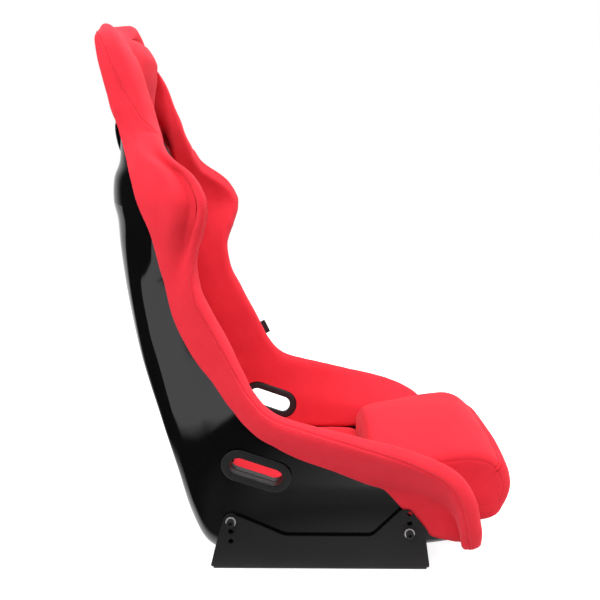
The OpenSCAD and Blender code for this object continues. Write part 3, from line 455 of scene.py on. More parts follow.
def head_curves(edge, before=None, after=None):
    """The same curves where the roll runs round the head."""
    p, n = skin(edge[0], edge[1]), inward(edge[0], edge[1])
    if edge[0] < 22:
        out = unit(p - skin(edge[0], edge[1] - np.sign(edge[1])))
    else:
        out = unit(np.cross(skin(after[0], after[1]) - skin(before[0], before[1]), n))
    s = section_at(edge[0])
    foam, over, wrap = s[SIDE] - 3, s[OVER] - 4, s[WRAP]
    pairs = [(p + out * GAP + n * near, p + out * share * over + n * depth)
             for near, share, depth, _ in over_rim(foam, wrap)]
    foot, crest = inside(edge[2], edge[3], SHELL_T + GAP + HEAD_ROLL - 1), pairs[0][1]
    leg = [(inside(mix(edge[2], edge[0], j / 4), mix(edge[3], edge[1], j / 4), SHELL_T + GAP),
            mix(foot, crest, j / 4) + n * (0, 2, 3, 2)[j]) for j in range(4)]
    tail = []
    for share, thick in zip(HEM_SHARES, HEM_HEAD):
        u, k = mix(edge[0], edge[2], share), mix(edge[1], 1.28 * edge[3], share)
        tail.append((inside(u, k, -GAP - 0.6), inside(u, k, -GAP - mix(HEM_T, wrap, thick))))
    return np.array(leg + pairs + tail)


def smooth_path(points, count):
    """count points at even steps of a centripetal Catmull-Rom curve's knots, and their places
    among the knots."""
    p = np.asarray(points, float)
    gap = np.maximum(np.linalg.norm(np.diff(p, axis=0), axis=1), 1e-4)**0.5
    t = np.concatenate([[0], np.cumsum(gap)])
    p = np.concatenate([[2 * p[0] - p[1]], p, [2 * p[-1] - p[-2]]])
    t = np.concatenate([[t[0] - gap[0]], t, [t[-1] + gap[-1]]])
    x = np.linspace(t[1], t[-2], count)
    i = np.clip(np.searchsorted(t, x, "right") - 1, 1, len(t) - 3)
    t0, t1, t2, t3 = (t[i + o][:, None] for o in (-1, 0, 1, 2))
    p0, p1, p2, p3 = (p[i + o] for o in (-1, 0, 1, 2))
    x = x[:, None]
    a1, a2, a3 = (((b - x) * q + (x - a) * r) / (b - a)
                  for a, b, q, r in ((t0, t1, p0, p1), (t1, t2, p1, p2), (t2, t3, p2, p3)))
    b1 = ((t2 - x) * a1 + (x - t0) * a2) / (t2 - t0)
    b2 = ((t3 - x) * a2 + (x - t1) * a3) / (t3 - t1)
    return ((t2 - x) * b1 + (x - t1) * b2) / (t2 - t1), i - 1 + ((x - t1) / (t2 - t1))[:, 0]


def round_corner(before, corner, after, most):
    """Points round a corner of a section, before it is reached and after it."""
    a, b = before - corner, after - corner
    r = min(most, 0.9 * np.linalg.norm(a), 0.6 * np.linalg.norm(b))
    a, b = unit(a), unit(b)
    return [corner + a * r * (1 - math.sin(t)) + b * r * (1 - math.cos(t))
            for t in np.radians([0, 25, 50, 72, 90])]


def wobble(p, scale, seed):
    """A smooth waviness of about -1 to 1, with waves about scale millimetres long."""
    dice = np.random.default_rng(seed)
    total = np.zeros(p.shape[:-1])
    for _ in range(7):
        way = unit(dice.normal(size=3)) / scale * dice.uniform(0.6, 1.5)
        total += np.sin(2 * math.pi * (p @ way + dice.uniform()))
    return total / 7**0.5


def pick(line, run, where):
    """The points of a line at given lengths along it."""
    return np.stack([np.interp(where, run, part) for part in line.T], -1)


def graded(start, stop, count, ends, first):
    """Steps from start to stop: those given at each end, and even ones between."""
    return np.concatenate([start + ends, np.linspace(start + first, stop - first, count), stop - ends[::-1]])


def through(values, knots, where):
    """Values between knots, on a curve whose slopes come from the neighbours."""
    slope = np.gradient(values, knots, axis=0)
    i = np.clip(np.searchsorted(knots, where, "right") - 1, 0, len(knots) - 2)
    shape = (-1,) + (1,) * (values.ndim - 1)
    h = (knots[i + 1] - knots[i]).reshape(shape)
    t = (where - knots[i]).reshape(shape) / h
    return ((2 * t**3 - 3 * t**2 + 1) * values[i] + (t**3 - 2 * t**2 + t) * h * slope[i]
            + (3 * t**2 - 2 * t**3) * values[i + 1] + (t**3 - t**2) * h * slope[i + 1])


def ease(t):
    """0 to 1 with a soft start and end."""
    t = np.clip(t, 0, 1)
    return t * t * (3 - 2 * t)


def bell(x, centre, width):
    return np.exp(-((x - centre) / width)**2)


def dome(p, thick):
    """The top of the head swells forwards and up, most in the middle."""
    low, high = ease((p[..., 2] - 760) / 50), ease((p[..., 2] - 835) / 35)
    share = np.clip(1 - (p[..., 1] / 112)**2, 0, 1) * np.clip(thick / 25, 0, 1)
    return p + np.stack([share * (20 * low - 9 * high), 0 * share, share * 9 * high], -1)


# the sections of the left half, from the nose to the middle of the head
NOSE, CREST, HEAD_FROM, HEAD_OVER = 12, 7, 19.35, 0.9  # length; point of a section; stations
steps = np.arange(0, 20.31, 0.1)
wall_part = bolster_curves(steps)
down = unit(skin(0, RIM_AT) - skin(0.5, RIM_AT))
nose = []
for turned in np.radians([88, 70, 52, 35, 20, 8]):
    ring = wall_part[0] + down * NOSE * math.sin(turned)
    ring[:, 1] = mix(ring[:, 1], ring[:, 0], 0.8 * (1 - math.cos(turned)))
    nose.append(ring)
for i in np.flatnonzero(steps > HEAD_FROM):
    round_head = head_curves(np.array([steps[i], 12, steps[i], 4]))
    wall_part[i] = mix(wall_part[i], round_head, ease((steps[i] - HEAD_FROM) / HEAD_OVER))
edges = np.concatenate([HEAD_EDGE, HEAD_EDGE[-2:-1] * [1, -1, 1, -1]])
head_part = [head_curves(edges[i], edges[i - 1], edges[i + 1]) for i in range(1, len(HEAD_EDGE))]
left = np.concatenate([nose, wall_part, head_part])
left_u = np.concatenate([np.zeros(len(nose)), steps, [21, 21.3, 21.6, 22, 22.3, 22.6, 22.8] + [23] * 5])
whole = np.concatenate([left, (left * [1, -1, 1])[-2::-1]])
whole_u = np.concatenate([left_u, left_u[-2::-1]])
knots = runs(whole[:, CREST, 1])
rows = graded(0, knots[-1], int(knots[-1] / 4.6), np.linspace(0, NOSE, 7)[:-1], NOSE)
dense, dense_u = through(whole, knots, rows), np.interp(rows, knots, whole_u)
# the cover is drawn tight over the top corners of the head
tight = np.clip((dense_u - 19.9) / 0.9, 0, 1)[:, None, None, None]
smooth = dense.copy()
for _ in range(60):
    smooth[1:-1] = 0.5 * smooth[1:-1] + 0.25 * (smooth[2:] + smooth[:-2])
dense = mix(dense, smooth, tight)

# across each section: how far outside the crest the seam lies, and closer points beside it
seam_arc = np.interp(
    dense_u, [0, 2, 3, 4.5, 6, 8, 10, 11.7, 12.4, 13.0, 13.6, 17.6, 18.6, 19.4, 20.3, 21.5, 23],
    [8, 18, 22, 17, 12, 16, 24, 27, 20, 8, 1, 1, 10, 30, 44, 48, 44])
CLUSTER = np.array([-12, -8, -5.5, -3.5, -2.2, -1.2, -0.5, 0, 0.5, 1.2, 2.2, 3.5, 5.5, 8, 12])
BEFORE, AFTER = 32, 22
SEAM = BEFORE + len(CLUSTER) // 2
cover, base, off, crest, arc = [], [], [], [], []
for near_row, top_row, seam, u in zip(dense[:, :, 0], dense[:, :, 1], seam_arc, dense_u):
    first = round_corner(near_row[0], top_row[0], top_row[1], 7.0 if u < 20.5 else 3.0)
    last = round_corner(near_row[-1], top_row[-1], top_row[-2], 5.0)[::-1]
    under = np.array([near_row[0]] * 6 + list(near_row[1:-1]) + [near_row[-1]] * 6)
    fine, at = smooth_path([near_row[0], *first, *top_row[1:-1], *last, near_row[-1]], 400)
    length = runs(fine)
    crest_arc = np.interp(CREST + len(first) - 1, at, length)
    where = np.concatenate([np.linspace(0, crest_arc + seam - 15, BEFORE), crest_arc + seam + CLUSTER,
                            np.linspace(crest_arc + seam + 15, length[-1], AFTER)])
    cover.append(pick(fine, length, where))
    base.append(pick(under, range(len(under)), np.interp(where, length, at)))
    off.append(where - crest_arc - seam)
    crest.append(where - crest_arc)
    arc.append(where)
cover, base, off, crest, arc = (np.array(v) for v in (cover, base, off, crest, arc))
normal = unit(np.cross(np.gradient(cover, axis=1), np.gradient(cover, axis=0)))
travel = runs(cover[:, 30])[:, None]
# the seam's groove with a lip on each side, the puckers between its stitches, and slow waves
lift = -1.1 * bell(off, 0, 1.1) + 0.5 * bell(np.abs(off), 7, 7)
lift += 0.22 * np.sin(travel / 2.9 + 1.5 * wobble(cover, 40, 5)) * bell(off, 0, 7) * (1 - bell(off, 0, 2.5))
lift += 0.5 * wobble(cover, 85, 1) + 0.2 * wobble(cover, 34, 2)
# the outside of a wing falls in between its hem and its crest
wing = np.exp(-((dense_u - 15.6) / 2.3)**4)[:, None]
lift += wing * (-19.0 * bell(crest, 37, 14) + 3.5 * bell(crest, 62, 16))
# the cloth is nipped in across the outside where the neck starts
lift -= 2.2 * bell(dense_u, 18.9, 0.09)[:, None] * bell(crest, 12, 30)
thick = np.linalg.norm(cover - base, axis=-1)
cover = dome(cover + normal * (lift * np.clip(thick / 6, 0, 1))[..., None], thick)
section = np.concatenate([cover, dense[:, ::-1, 0]], 1)
count = section.shape[1]
cloth_at = np.zeros(section.shape[:2] + (2,))
cloth_at[..., 0] = travel
cloth_at[:, :cover.shape[1], 1] = arc - arc[:, SEAM:SEAM + 1]
middle_row = len(section) // 2
cuts = [0] + [int(np.argmin(abs(dense_u[:middle_row] - u))) for u in (WAIST_FOLD, HEAD_JOINT)]
cuts += [len(section) - 1 - c for c in cuts[::-1]]
PARTS = "hip_#_left", "shoulder_#_left", "head_#", "shoulder_#_right", "hip_#_right"
for part, a, b in zip(PARTS, cuts, cuts[1:]):
    faces = [f[::-1] for f in tube(b - a + 1, count)]
    made = piece(part.replace("#", "cover"), section[a:b + 1].reshape(-1, 3), faces, red_cloth,
                 [part.replace("#", "bolster")], cloth_at[a:b + 1].reshape(-1, 2), 50)
    if part.startswith("hip"):
        seat = prism(slot_outline(*LAP, FLANGE_W + PLAY), lap_place, -60, 2 - SHELL_T - GAP - SEAT_FOAM)
        for slot in (lap_cut, seat):
            cut(made, [slot if part.endswith("left") else other_hand(slot)])

dyed = Finish("red_thread")
red_thread = dyed.surface(Base_Color=(0.50, 0.02, 0.035, 1), Roughness=0.6, Specular_IOR_Level=0.3,
                          Sheen_Weight=0.2)


def stitches(name, path, normal, pitch=5.6, size=1.0):
    """A row of stitches along a path, each a short rounded bar sunk half into the cloth."""
    run = runs(path)
    points, faces = [], []
    for start in np.arange(1.5, run[-1] - pitch * 0.7, pitch):
        a, b = pick(path, run, start), pick(path, run, start + pitch * 0.68)
        up = unit(pick(normal, run, start))
        side = np.cross(up, unit(b - a))
        faces += tube(5, 6, len(points))
        for share, r in ((0, 0.15), (0.12, 0.42), (0.5, 0.52), (0.88, 0.42), (1, 0.15)):
            for t in np.radians(np.arange(0, 360, 60)):
                round_bar = side * r * math.cos(t) + up * (r * math.sin(t) + 0.18)
                points.append(mix(a, b, share) + size * round_bar)
    return piece(name, points, faces, red_thread)


for side, a, b in (("left", 6, middle_row), ("right", middle_row, len(section) - 7)):
    for row, column in (("a", SEAM - 4), ("b", SEAM + 4)):
        stitches(f"stitches_{side}_{row}", cover[a:b, column], normal[a:b, column])

# ---- back, neck and head pads --------------------------------------------------------------------
# Flat foam pads in the same cloth, glued to the inside of the shell between the bolsters. Their
# edges are rounded where the cloth is pulled down into the joints.
def middle_foam(u):
    return np.interp(u, [8.5, 15, 18, 18.3, 19.45, 19.75, 21, 21.8, 22.14],
                     [28, 28, 38, 38, 13, 13, 38, 38, 35])


def beside_bolster(u, k):
    m = middle_foam(u)
    return mix(m, np.minimum(m, 16.8), np.minimum(1, (np.abs(k) / 5)**2))


VOXEL, PRESSURE, FRAMES, ROUNDS = 6.0, 4.0, 20, 12  # of the remesh, the blowing up, the evening out


def swell(thing, most, held):
    """Blows up a remeshed copy of a pad as cloth, held at the given points, and moves the pad's own
    points out or in to the copy's surface, by at most the given distance."""
    model = bpy.data.objects.new("swell", thing.data.copy())
    bpy.context.scene.collection.objects.link(model)
    remesh = model.modifiers.new("even", "REMESH")
    remesh.mode, remesh.voxel_size = "VOXEL", VOXEL * MM
    apply_modifiers(model)
    near = KDTree(len(held))
    for i, p in enumerate(np.asarray(held) * MM):
        near.insert(p, i)
    near.balance()
    glued = [v.index for v in model.data.vertices if near.find(v.co)[2] < 0.9 * VOXEL * MM]
    model.vertex_groups.new(name="held").add(glued, 1.0, "REPLACE")
    cloth = model.modifiers.new("cloth", "CLOTH")
    cloth.settings.vertex_group_mass = "held"
    cloth.settings.use_pressure = True
    cloth.settings.uniform_pressure_force = PRESSURE
    cloth.settings.effector_weights.gravity = 0.0
    cloth.collision_settings.use_self_collision = False
    cloth.point_cache.frame_start, cloth.point_cache.frame_end = 1, FRAMES
    for frame_number in range(1, FRAMES + 1):
        bpy.context.scene.frame_set(frame_number)
    apply_modifiers(model)
    bpy.context.scene.frame_set(1)
    tree = BVHTree.FromPolygons([v.co for v in model.data.vertices],
                                [p.vertices for p in model.data.polygons])
    bpy.data.objects.remove(model)
    mesh = thing.data
    move = np.zeros(len(mesh.vertices))
    for i, v in enumerate(mesh.vertices):
        hit = tree.ray_cast(v.co - v.normal * 0.6 * most * MM, v.normal, 2 * most * MM)[3]
        if hit is not None:
            move[i] = min(hit - 0.6 * most * MM, most * MM)
    ends = np.array([e.vertices for e in mesh.edges])
    for _ in range(ROUNDS):
        total, count = np.zeros(len(move)), np.zeros(len(move))
        for a, b in (ends.T, ends.T[::-1]):
            np.add.at(total, a, move[b])
            np.add.at(count, a, 1)
        move = 0.5 * move + 0.5 * total / np.maximum(count, 1)
    for v, d in zip(list(mesh.vertices), move):
        v.co += v.normal * d


def pad_between(name, low, top, node, rounding, seed):
    """A pad between two grids of points, with round borders, blown up a little as cloth."""
    run_u, run_k = runs(top, 0), runs(top, 1)
    edges = [run_u, run_u[-1:] - run_u, run_k, run_k[:, -1:] - run_k]
    drop = 0
    for d in edges:
        d = np.clip(d, 0, rounding)
        drop = np.maximum(drop, rounding - np.sqrt(rounding**2 - (rounding - d)**2))
    height = np.linalg.norm(top - low, axis=-1)
    waves = 0.9 * wobble(top, 95, seed) + 0.35 * wobble(top, 38, seed + 1)
    waves *= np.clip(np.minimum.reduce(edges) / 12, 0, 1)
    top = low + unit(top - low) * np.maximum(height - drop + waves, 0.22 * height)[..., None]
    cols = top.shape[1]
    faces = slab(*top.shape[:2])
    if np.cross(top[1, 0] - top[0, 0], top[0, 1] - top[0, 0]) @ (top[0, 0] - low[0, 0]) <= 0:
        faces = [f[::-1] for f in faces]
    uv = np.stack([run_u, run_k - run_k[:, cols // 2:cols // 2 + 1]], -1).reshape(-1, 2)
    made = piece(name, np.concatenate([top.reshape(-1, 3), low.reshape(-1, 3)]), faces, red_cloth,
                 [node], np.concatenate([uv, uv]), 50)
    swell(made, 4.0, low.reshape(-1, 3))
    return made


def spaced(start, stop, step):
    """Stations about step millimetres apart, closer at both ends."""
    fine = np.linspace(start, stop, 1500)
    run = runs(skin(fine, 0))
    where = graded(0, run[-1], max(int(run[-1] / step), 4), np.array([0, 0.6, 1.6, 3.2, 5.5]), 9)
    return np.interp(where, run, fine)


pad_ks = both_sides(np.concatenate([np.linspace(0, 4, 24)[:-1], np.linspace(4, 7.6, 16),
                                    7.92 - np.array([0.18, 0.1, 0.05, 0.02, 0])]))
PAD_GAP = 0.006  # in stations
for name, node, low_u, high_u, step, rounding, seed in (
        ("back_pad_cover", "back_pad", 8.5, NECK_FOLD - 4 * PAD_GAP, 7.0, 6.0, 21),
        ("neck_pad_cover", "neck_pad", NECK_FOLD + 4 * PAD_GAP, HEAD_JOINT - 3 * PAD_GAP, 4.0, 4.0, 23)):
    U, K = np.meshgrid(spaced(low_u, high_u, step), pad_ks, indexing="ij")
    pad = pad_between(name, inside(U, K, SHELL_T + GAP), inside(U, K, SHELL_T + GAP + beside_bolster(U, K)),
                      node, rounding, seed)
# the shoulder bezels press into the neck pad, on its slope
low, high = 18.3, 19.45  # stations at the ends of the slope
slope = math.atan((middle_foam(low) - middle_foam(high)) / np.linalg.norm(skin(high, 0) - skin(low, 0)))
axes, at = shoulder_place
c, s = math.cos(slope), -math.sin(slope)
neck_place = (np.array([axes[0], c * axes[1] + s * axes[2], c * axes[2] - s * axes[1]]),
              at - axes[2] * (SHELL_T + GAP + float(beside_bolster(18.95, 2.8))))
axes, at = neck_place
PRESS_AT, PRESS_FADE = 1.5, 5  # where the cloth lies under a flange, and how far round it
for v in pad.data.vertices:
    p = np.array(v.co) / MM
    hand = np.array([1, -1 if p[1] < 0 else 1, 1])
    x, y, z = axes @ (p * hand - at)
    past_flange = math.hypot(max(abs(x) - (SHOULDER[0] - SHOULDER[1]) / 2, 0), y) - SHOULDER[1] / 2 - FLANGE_W
    if z < PRESS_AT:
        push = (PRESS_AT - z) * ease(1 - past_flange / PRESS_FADE)
        v.co = Vector((p * hand + axes[2] * push) * hand * MM)
cut(pad, [shoulder_cut, other_hand(shoulder_cut)])

shares = np.concatenate([[0, 0.08, 0.17, 0.26, 0.35, 0.45, 0.55, 0.65, 0.75, 0.83, 0.89],
                         0.99 - np.array([0.055, 0.03, 0.012, 0])])
U, F = np.meshgrid(spaced(HEAD_JOINT + 3 * PAD_GAP, 22.14, 5.0), both_sides(shares), indexing="ij")
K = F * np.interp(U, HEAD_EDGE[:8, 2], HEAD_EDGE[:8, 3])
foam = mix(middle_foam(U), np.interp(U, [HEAD_JOINT, 20.8], [17, HEAD_ROLL]), F**2)
HEAD_PUFF = 6.0
foam += HEAD_PUFF * np.sin(np.pi * np.clip((U - 19.9) / 2.24, 0, 1))**0.8 * (1 - F**2)
pad_between("head_pad_cover", inside(U, K, SHELL_T + GAP), dome(inside(U, K, SHELL_T + GAP + foam), 25),
            "head_pad", 3.0, 25)

# ---- base pad ------------------------------------------------------------------------------------
# The loose foam pad that the sitter's hips rest on, covered in the same cloth. It lies on the floor
# of the shell behind the thigh cushion, held by hook-and-loop strips, and falls towards the back.
PAD_REAR, PAD_FRONT, PAD_HALF, PAD_TOP, PAD_CORNER = -166, 81, 196, 117, 30
FALL, FALL_FROM, FALL_OVER, PAD_CROWN = 30, 43, 210, 9  # how its top falls back and is crowned
UNDER_PAD = SHELL_T + GAP + 2.4  # the laminate and the strips on it


def floor_z(x):
    return np.interp(x, SECTIONS[8::-1, SPINE_X], SECTIONS[8::-1, SPINE_Z])


ends, first = np.array([0, 0.8, 2, 4, 7, 11]), 18  # rows and columns close to the edges
X, S = np.meshgrid(graded(PAD_REAR, PAD_FRONT, 32, ends, first),
                   graded(-1, 1, 52, ends / PAD_HALF, first / PAD_HALF), indexing="ij")
corner = np.clip(1 - np.minimum(X - PAD_REAR, PAD_FRONT - X) / PAD_CORNER, 0, 1)
Y = S * (PAD_HALF - PAD_CORNER * (1 - np.sqrt(1 - corner**2 * 0.9)))
bottom = floor_z(X) + UNDER_PAD + 4 * (np.maximum(0, -110 - X) / 58)**2
top = PAD_TOP - FALL * np.maximum(0, (FALL_FROM - X) / FALL_OVER)**2 + PAD_CROWN * (1 - S**2)
base_pad = pad_between("base_pad_cover", np.stack([X, Y, bottom], -1), np.stack([X, Y, top], -1),
                       "base_pad", 9, 27)
cut(base_pad, [prism(slot_outline(*CROTCH, 3), crotch_place, -200, 40)])

# ---- thigh cushion -------------------------------------------------------------------------------
# A loose foam cushion that lies on the floor and over the front lip. Its cover has a crowned top
# panel, flat side panels and a front band in two halves. A double row of stitching closes the front
# edge of the top panel on a raised welt. The panels swell between the seams.
REAR_X, FRONT_X, SEAM_Z, LIP_Z, CUSHION_HALF = 84, 319, 183, 65, 172
# side view from the rear bottom edge round the front: x, z, share of the crown
SIDE_VIEW = np.array([
    [88, floor_z(88) + UNDER_PAD, 0], [143, floor_z(143) + UNDER_PAD, 0],
    [212, floor_z(212) + UNDER_PAD + 1, 0], [240, LIP_Z - 4, 0], [262, LIP_Z, 0],
    [284, LIP_Z + 4, 0], [298, LIP_Z + 12, 0],
    [FRONT_X - 9, LIP_Z + 28, 0.02], [FRONT_X - 1, LIP_Z + 54, 0.1], [FRONT_X - 3, SEAM_Z - 42, 0.2],
    [FRONT_X - 12, SEAM_Z - 22, 0.32], [FRONT_X - 27, SEAM_Z - 8, 0.52], [FRONT_X - 45, SEAM_Z - 1, 0.8],
    [FRONT_X - 66, SEAM_Z + 1, 1], [FRONT_X - 96, SEAM_Z - 1, 1], [FRONT_X - 130, SEAM_Z - 6, 1],
    [REAR_X + 68, SEAM_Z - 14, 1], [REAR_X + 34, SEAM_Z - 20, 1], [REAR_X + 14, SEAM_Z - 25, 1],
    [REAR_X + 4, SEAM_Z - 30, 0.97], [REAR_X, SEAM_Z - 39, 0.9], [REAR_X - 1, SEAM_Z - 58, 0.6],
    [REAR_X + 1, SEAM_Z - 104, 0.15], [88, floor_z(88) + UNDER_PAD, 0]])
CROWN_RISE, EDGE_R = 44, 9.0
WELT = np.array([-14, -9, -6, -4.6, -3.6, -2.9, -2.3, -1.6, -0.8, 0, 0.8, 1.6, 2.3, 2.9, 3.6, 4.6, 6, 9, 14])
BELOW_WELT, SIDE_FROM, SIDE_DEPTH = 34, 22, 62  # points; where the side panel turns flat, and its reach
WELT_AT = BELOW_WELT + len(WELT) // 2

# outlines side by side across the cushion: distance from its middle, and how far each is drawn in
rims = [(CUSHION_HALF - EDGE_R * (1 - math.sin(t)), EDGE_R * (1 - math.cos(t)))
        for t in np.radians([14, 28, 42, 56, 70, 82, 90])]
rims += [(CUSHION_HALF + 0.4, EDGE_R + d) for d in (1.2, 2.2, 3.4, 6, 10, 16, 23, 31, 40, 49)]
lanes = [(-y, d) for y, d in rims[::-1]]
lanes += [(s * CUSHION_HALF, 0.0) for s in np.linspace(-1, 1, 47) * (1 - EDGE_R / CUSHION_HALF)] + rims
middle = np.array([(REAR_X + FRONT_X) / 2, SEAM_Z - 68])
grid, welt_off = [], []
for y, drawn in lanes:
    s = min(abs(y) / CUSHION_HALF, 1)
    outline = SIDE_VIEW[:, :2] + np.outer(SIDE_VIEW[:, 2], [0, CROWN_RISE * (1 - s**2.4)])
    outline[:, 0] -= 5 * s**6 * (SIDE_VIEW[:, 2] > 0)
    length = runs(outline)
    fine_at = np.linspace(0, length[-1], 700)
    fine = through(outline, length, fine_at)
    slope = unit(np.gradient(fine, axis=0))
    into = np.stack([-slope[:, 1], slope[:, 0]], -1)
    fine = fine + into * min(drawn, SIDE_FROM)
    if drawn > SIDE_FROM:
        fine = mix(fine, middle, (drawn - SIDE_FROM) / SIDE_DEPTH)
    target = np.array([284 + 14 * s**2.2, 199 - 37 * s**2.2])
    seam = fine_at[np.argmin(np.linalg.norm(fine - target, axis=1))]
    where = np.concatenate([np.linspace(0, seam - 20, BELOW_WELT), seam + WELT,
                            np.linspace(seam + 20, length[-1], 58)[:-1]])
    grid.append(np.insert(pick(fine, fine_at, where), 1, y, 1))
    welt_off.append(where - seam)
grid, welt_off = np.array(grid), np.array(welt_off)
lane_y, drawn = np.array(lanes).T[..., None]
side_off = drawn - EDGE_R
rows, cols = grid.shape[:2]
cloth_at = np.stack([welt_off, np.repeat(runs(grid[:, cols - 25])[:, None], cols, 1)], -1)
tips, last = rows * cols, (rows - 1) * cols
faces = quads(rows, cols, closed=True, flip=True)
faces += [[tips, (j + 1) % cols, j] for j in range(cols)]
faces += [[tips + 1, last + j, last + (j + 1) % cols] for j in range(cols)]
points = np.concatenate([grid.reshape(-1, 3), [grid[0].mean(0), grid[-1].mean(0)]])
cushion = piece("thigh_cushion_cover", points, faces, red_cloth, ["thigh_cushion"],
                np.concatenate([cloth_at.reshape(-1, 2), np.zeros((2, 2))]), 60)
on_lip = (grid[..., 2] < LIP_Z - 2) & (grid[..., 0] < 250)
swell(cushion, 5.0, grid[(np.abs(welt_off) < 7) | on_lip | (np.abs(side_off) < 1.5)])
# seams after the swelling: a welt between two rows of stitching, a plain seam round each side
# panel, and the joint between the two halves of the front band
swollen = np.array([v.co for v in cushion.data.vertices]) / MM
body = swollen[:tips].reshape(rows, cols, 3)
out = unit(np.cross(np.gradient(body, axis=0), np.gradient(body, axis=1)))
on_panel = np.where(side_off < 4, 1.0, 0.0)
lift = on_panel * (1.6 * np.exp(-(welt_off / 2.0)**4) - 1.7 * bell(np.abs(welt_off), 3.4, 1.0))
lift = lift - 0.8 * bell(side_off, 2.2, 1.1) * (welt_off > -150)
ahead = np.clip(-welt_off, 0, None)
band = on_panel * np.clip(ahead / 5, 0, 1) * np.clip((110 - ahead) / 60, 0, 1)
lift = lift + band * np.clip((CUSHION_HALF - np.abs(lane_y)) / 12, 0, 1) * (4.2 - 3.6 * bell(lane_y, 0, 11))
lift = lift + 0.5 * wobble(body, 90, 31) + 0.2 * wobble(body, 36, 32)
body = body + out * lift[..., None]
swollen[:tips] = body.reshape(-1, 3)
cushion.data.vertices.foreach_set("co", (swollen * MM).ravel())
cut(cushion, [prism(slot_outline(*CROTCH, 3), crotch_place, -200, 60)])
a, b = len(rims) - 1, rows - len(rims) + 1
for row, column in (("a", WELT_AT - 5), ("b", WELT_AT + 5)):
    stitches(f"stitches_cushion_{row}", body[a:b, column], out[a:b, column], 4.6, 0.8)

# ---- belt-slot bezels ----------------------------------------------------------------------------
# Injection-moulded black plastic frames that line the belt slots. Each has a domed flange with
# rounded edges on the surface and a collar in the opening, and faces another through the wall.
grain = Finish("moulded_plastic")
dimple, cloud = grain.noise(1500.0, 2.0, 0.6), grain.noise(40.0)
moulded_plastic = grain.surface(
    Base_Color=grain.blend(cloud, (0.012, 0.012, 0.013), (0.020, 0.020, 0.021)),
    Roughness=0.42 + dimple * 0.12, Specular_IOR_Level=0.4, Normal=grain.bump(dimple, 0.25, 0.0002))

FLANGE_T, COLLAR_T = 3, 2


def bezel(name, node, place, size, collar, lift, thick=FLANGE_T, hand=1):
    """A frame round a slot: the flange stands lift above the place and the collar goes below it."""
    axes, at = place
    profile = [(0.3, -collar), (0, -collar + 0.4), (0.15, thick * 0.35)]
    profile += [(1.5 - 1.4 * math.cos(t), thick * (0.45 + 0.55 * math.sin(t)))
                for t in np.radians([15, 35, 55, 75])]
    profile += [(FLANGE_W * 0.35, thick), (FLANGE_W * 0.6, thick * 0.97), (FLANGE_W * 0.82, thick * 0.78)]
    profile += [(FLANGE_W - 1 + math.sin(t), thick * (0.1 + 0.4 * math.cos(t)))
                for t in np.radians([10, 35, 60, 90])]
    profile += [(FLANGE_W, 0), (COLLAR_T, 0), (COLLAR_T, -collar)]
    rings = [[at + np.array([*q, height + lift]) @ axes for q in slot_outline(*size, out, 22)]
             for out, height in profile]
    rings = np.array(rings) * [1, hand, 1]
    n, last = rings.shape[1], (len(rings) - 1) * rings.shape[1]
    faces = quads(len(rings), n, closed=True)
    faces += [[last + i, last + (i + 1) % n, (i + 1) % n, i] for i in range(n)]
    if hand > 0:
        faces = [f[::-1] for f in faces]
    piece(name, rings.reshape(-1, 3), faces, moulded_plastic, [node], angle=42)


def beyond(place, depth):
    """The same place turned to face into the seat, at a depth below the skin."""
    axes, at = place
    return np.array([axes[0], -axes[1], -axes[2]]), at - axes[2] * depth


lap_depth = SHELL_T + GAP + SEAT_FOAM - 2
lap_collar = lap_depth / 2 - PLAY
lift_rear = 1.8 + 2 * PLAY  # the rear shoulder bezels stand off the curved back
for side, hand in (("left", 1), ("right", -1)):
    for kind, row, place, size, collar, lift in (
            ("lap", "outer", lap_place, LAP, lap_collar + 2 * PLAY, 2 * PLAY),
            ("lap", "inner", beyond(lap_place, lap_depth + PLAY), LAP, lap_collar, 0),
            ("shoulder", "rear", shoulder_place, SHOULDER, lift_rear + SHELL_T - 1, lift_rear),
            ("shoulder", "front", beyond(neck_place, -2 + PLAY), SHOULDER, 8, 0)):
        bezel(f"{kind}_frame_{row}_{side}", f"{kind}_bezel_{row}_{side}", place, size, collar, lift,
              hand=hand)
bezel("crotch_frame_top", "crotch_bezel_top", beyond(crotch_place, SHELL_T + PLAY), CROTCH, SHELL_T / 2, 0, 2)
bezel("crotch_frame_bottom", "crotch_bezel_bottom", crotch_place, CROTCH, SHELL_T / 2 + PLAY, 2 * PLAY)

# ---- brackets and fixings ------------------------------------------------------------------------
# The brackets are laser-cut steel plate with a folded foot, in black powder coat. Black socket-head
# bolts on bright zinc washers go through them and their spacers into inserts in the shell.
coat = Finish("powder_coat")
orange_peel, patch = coat.noise(700.0), coat.noise(12.0, 3.0, 0.6)
edge = coat.add("ShaderNodeNewGeometry", {}, {}, "Pointiness")
powder_coat = coat.surface(
    Base_Color=coat.blend(patch, (0.0105, 0.0105, 0.011), (0.0165, 0.0165, 0.017)),
    Roughness=0.46 + orange_peel * 0.10 + (edge - 0.5) * 0.3, Specular_IOR_Level=0.35,
    Normal=coat.bump(orange_peel, 0.3, 0.00012))

plating = Finish("bright_zinc")
brush = plating.noise(3.0, 3.0, 0.6, plating.scaled(plating.place(), 60.0, 900.0, 60.0))
bright_zinc = plating.surface(
    Base_Color=plating.blend(brush, (0.62, 0.63, 0.64), (0.78, 0.79, 0.80)), Metallic=0.55,
    Roughness=0.40 + brush * 0.16, Normal=plating.bump(brush, 0.2, 0.0001))

black_oxide = Finish("black_oxide")
speck = black_oxide.noise(500.0)
bolt_black = black_oxide.surface(
    Base_Color=black_oxide.blend(speck, (0.010, 0.010, 0.011), (0.022, 0.022, 0.024)),
    Roughness=0.30 + speck * 0.12, Specular_IOR_Level=0.5)

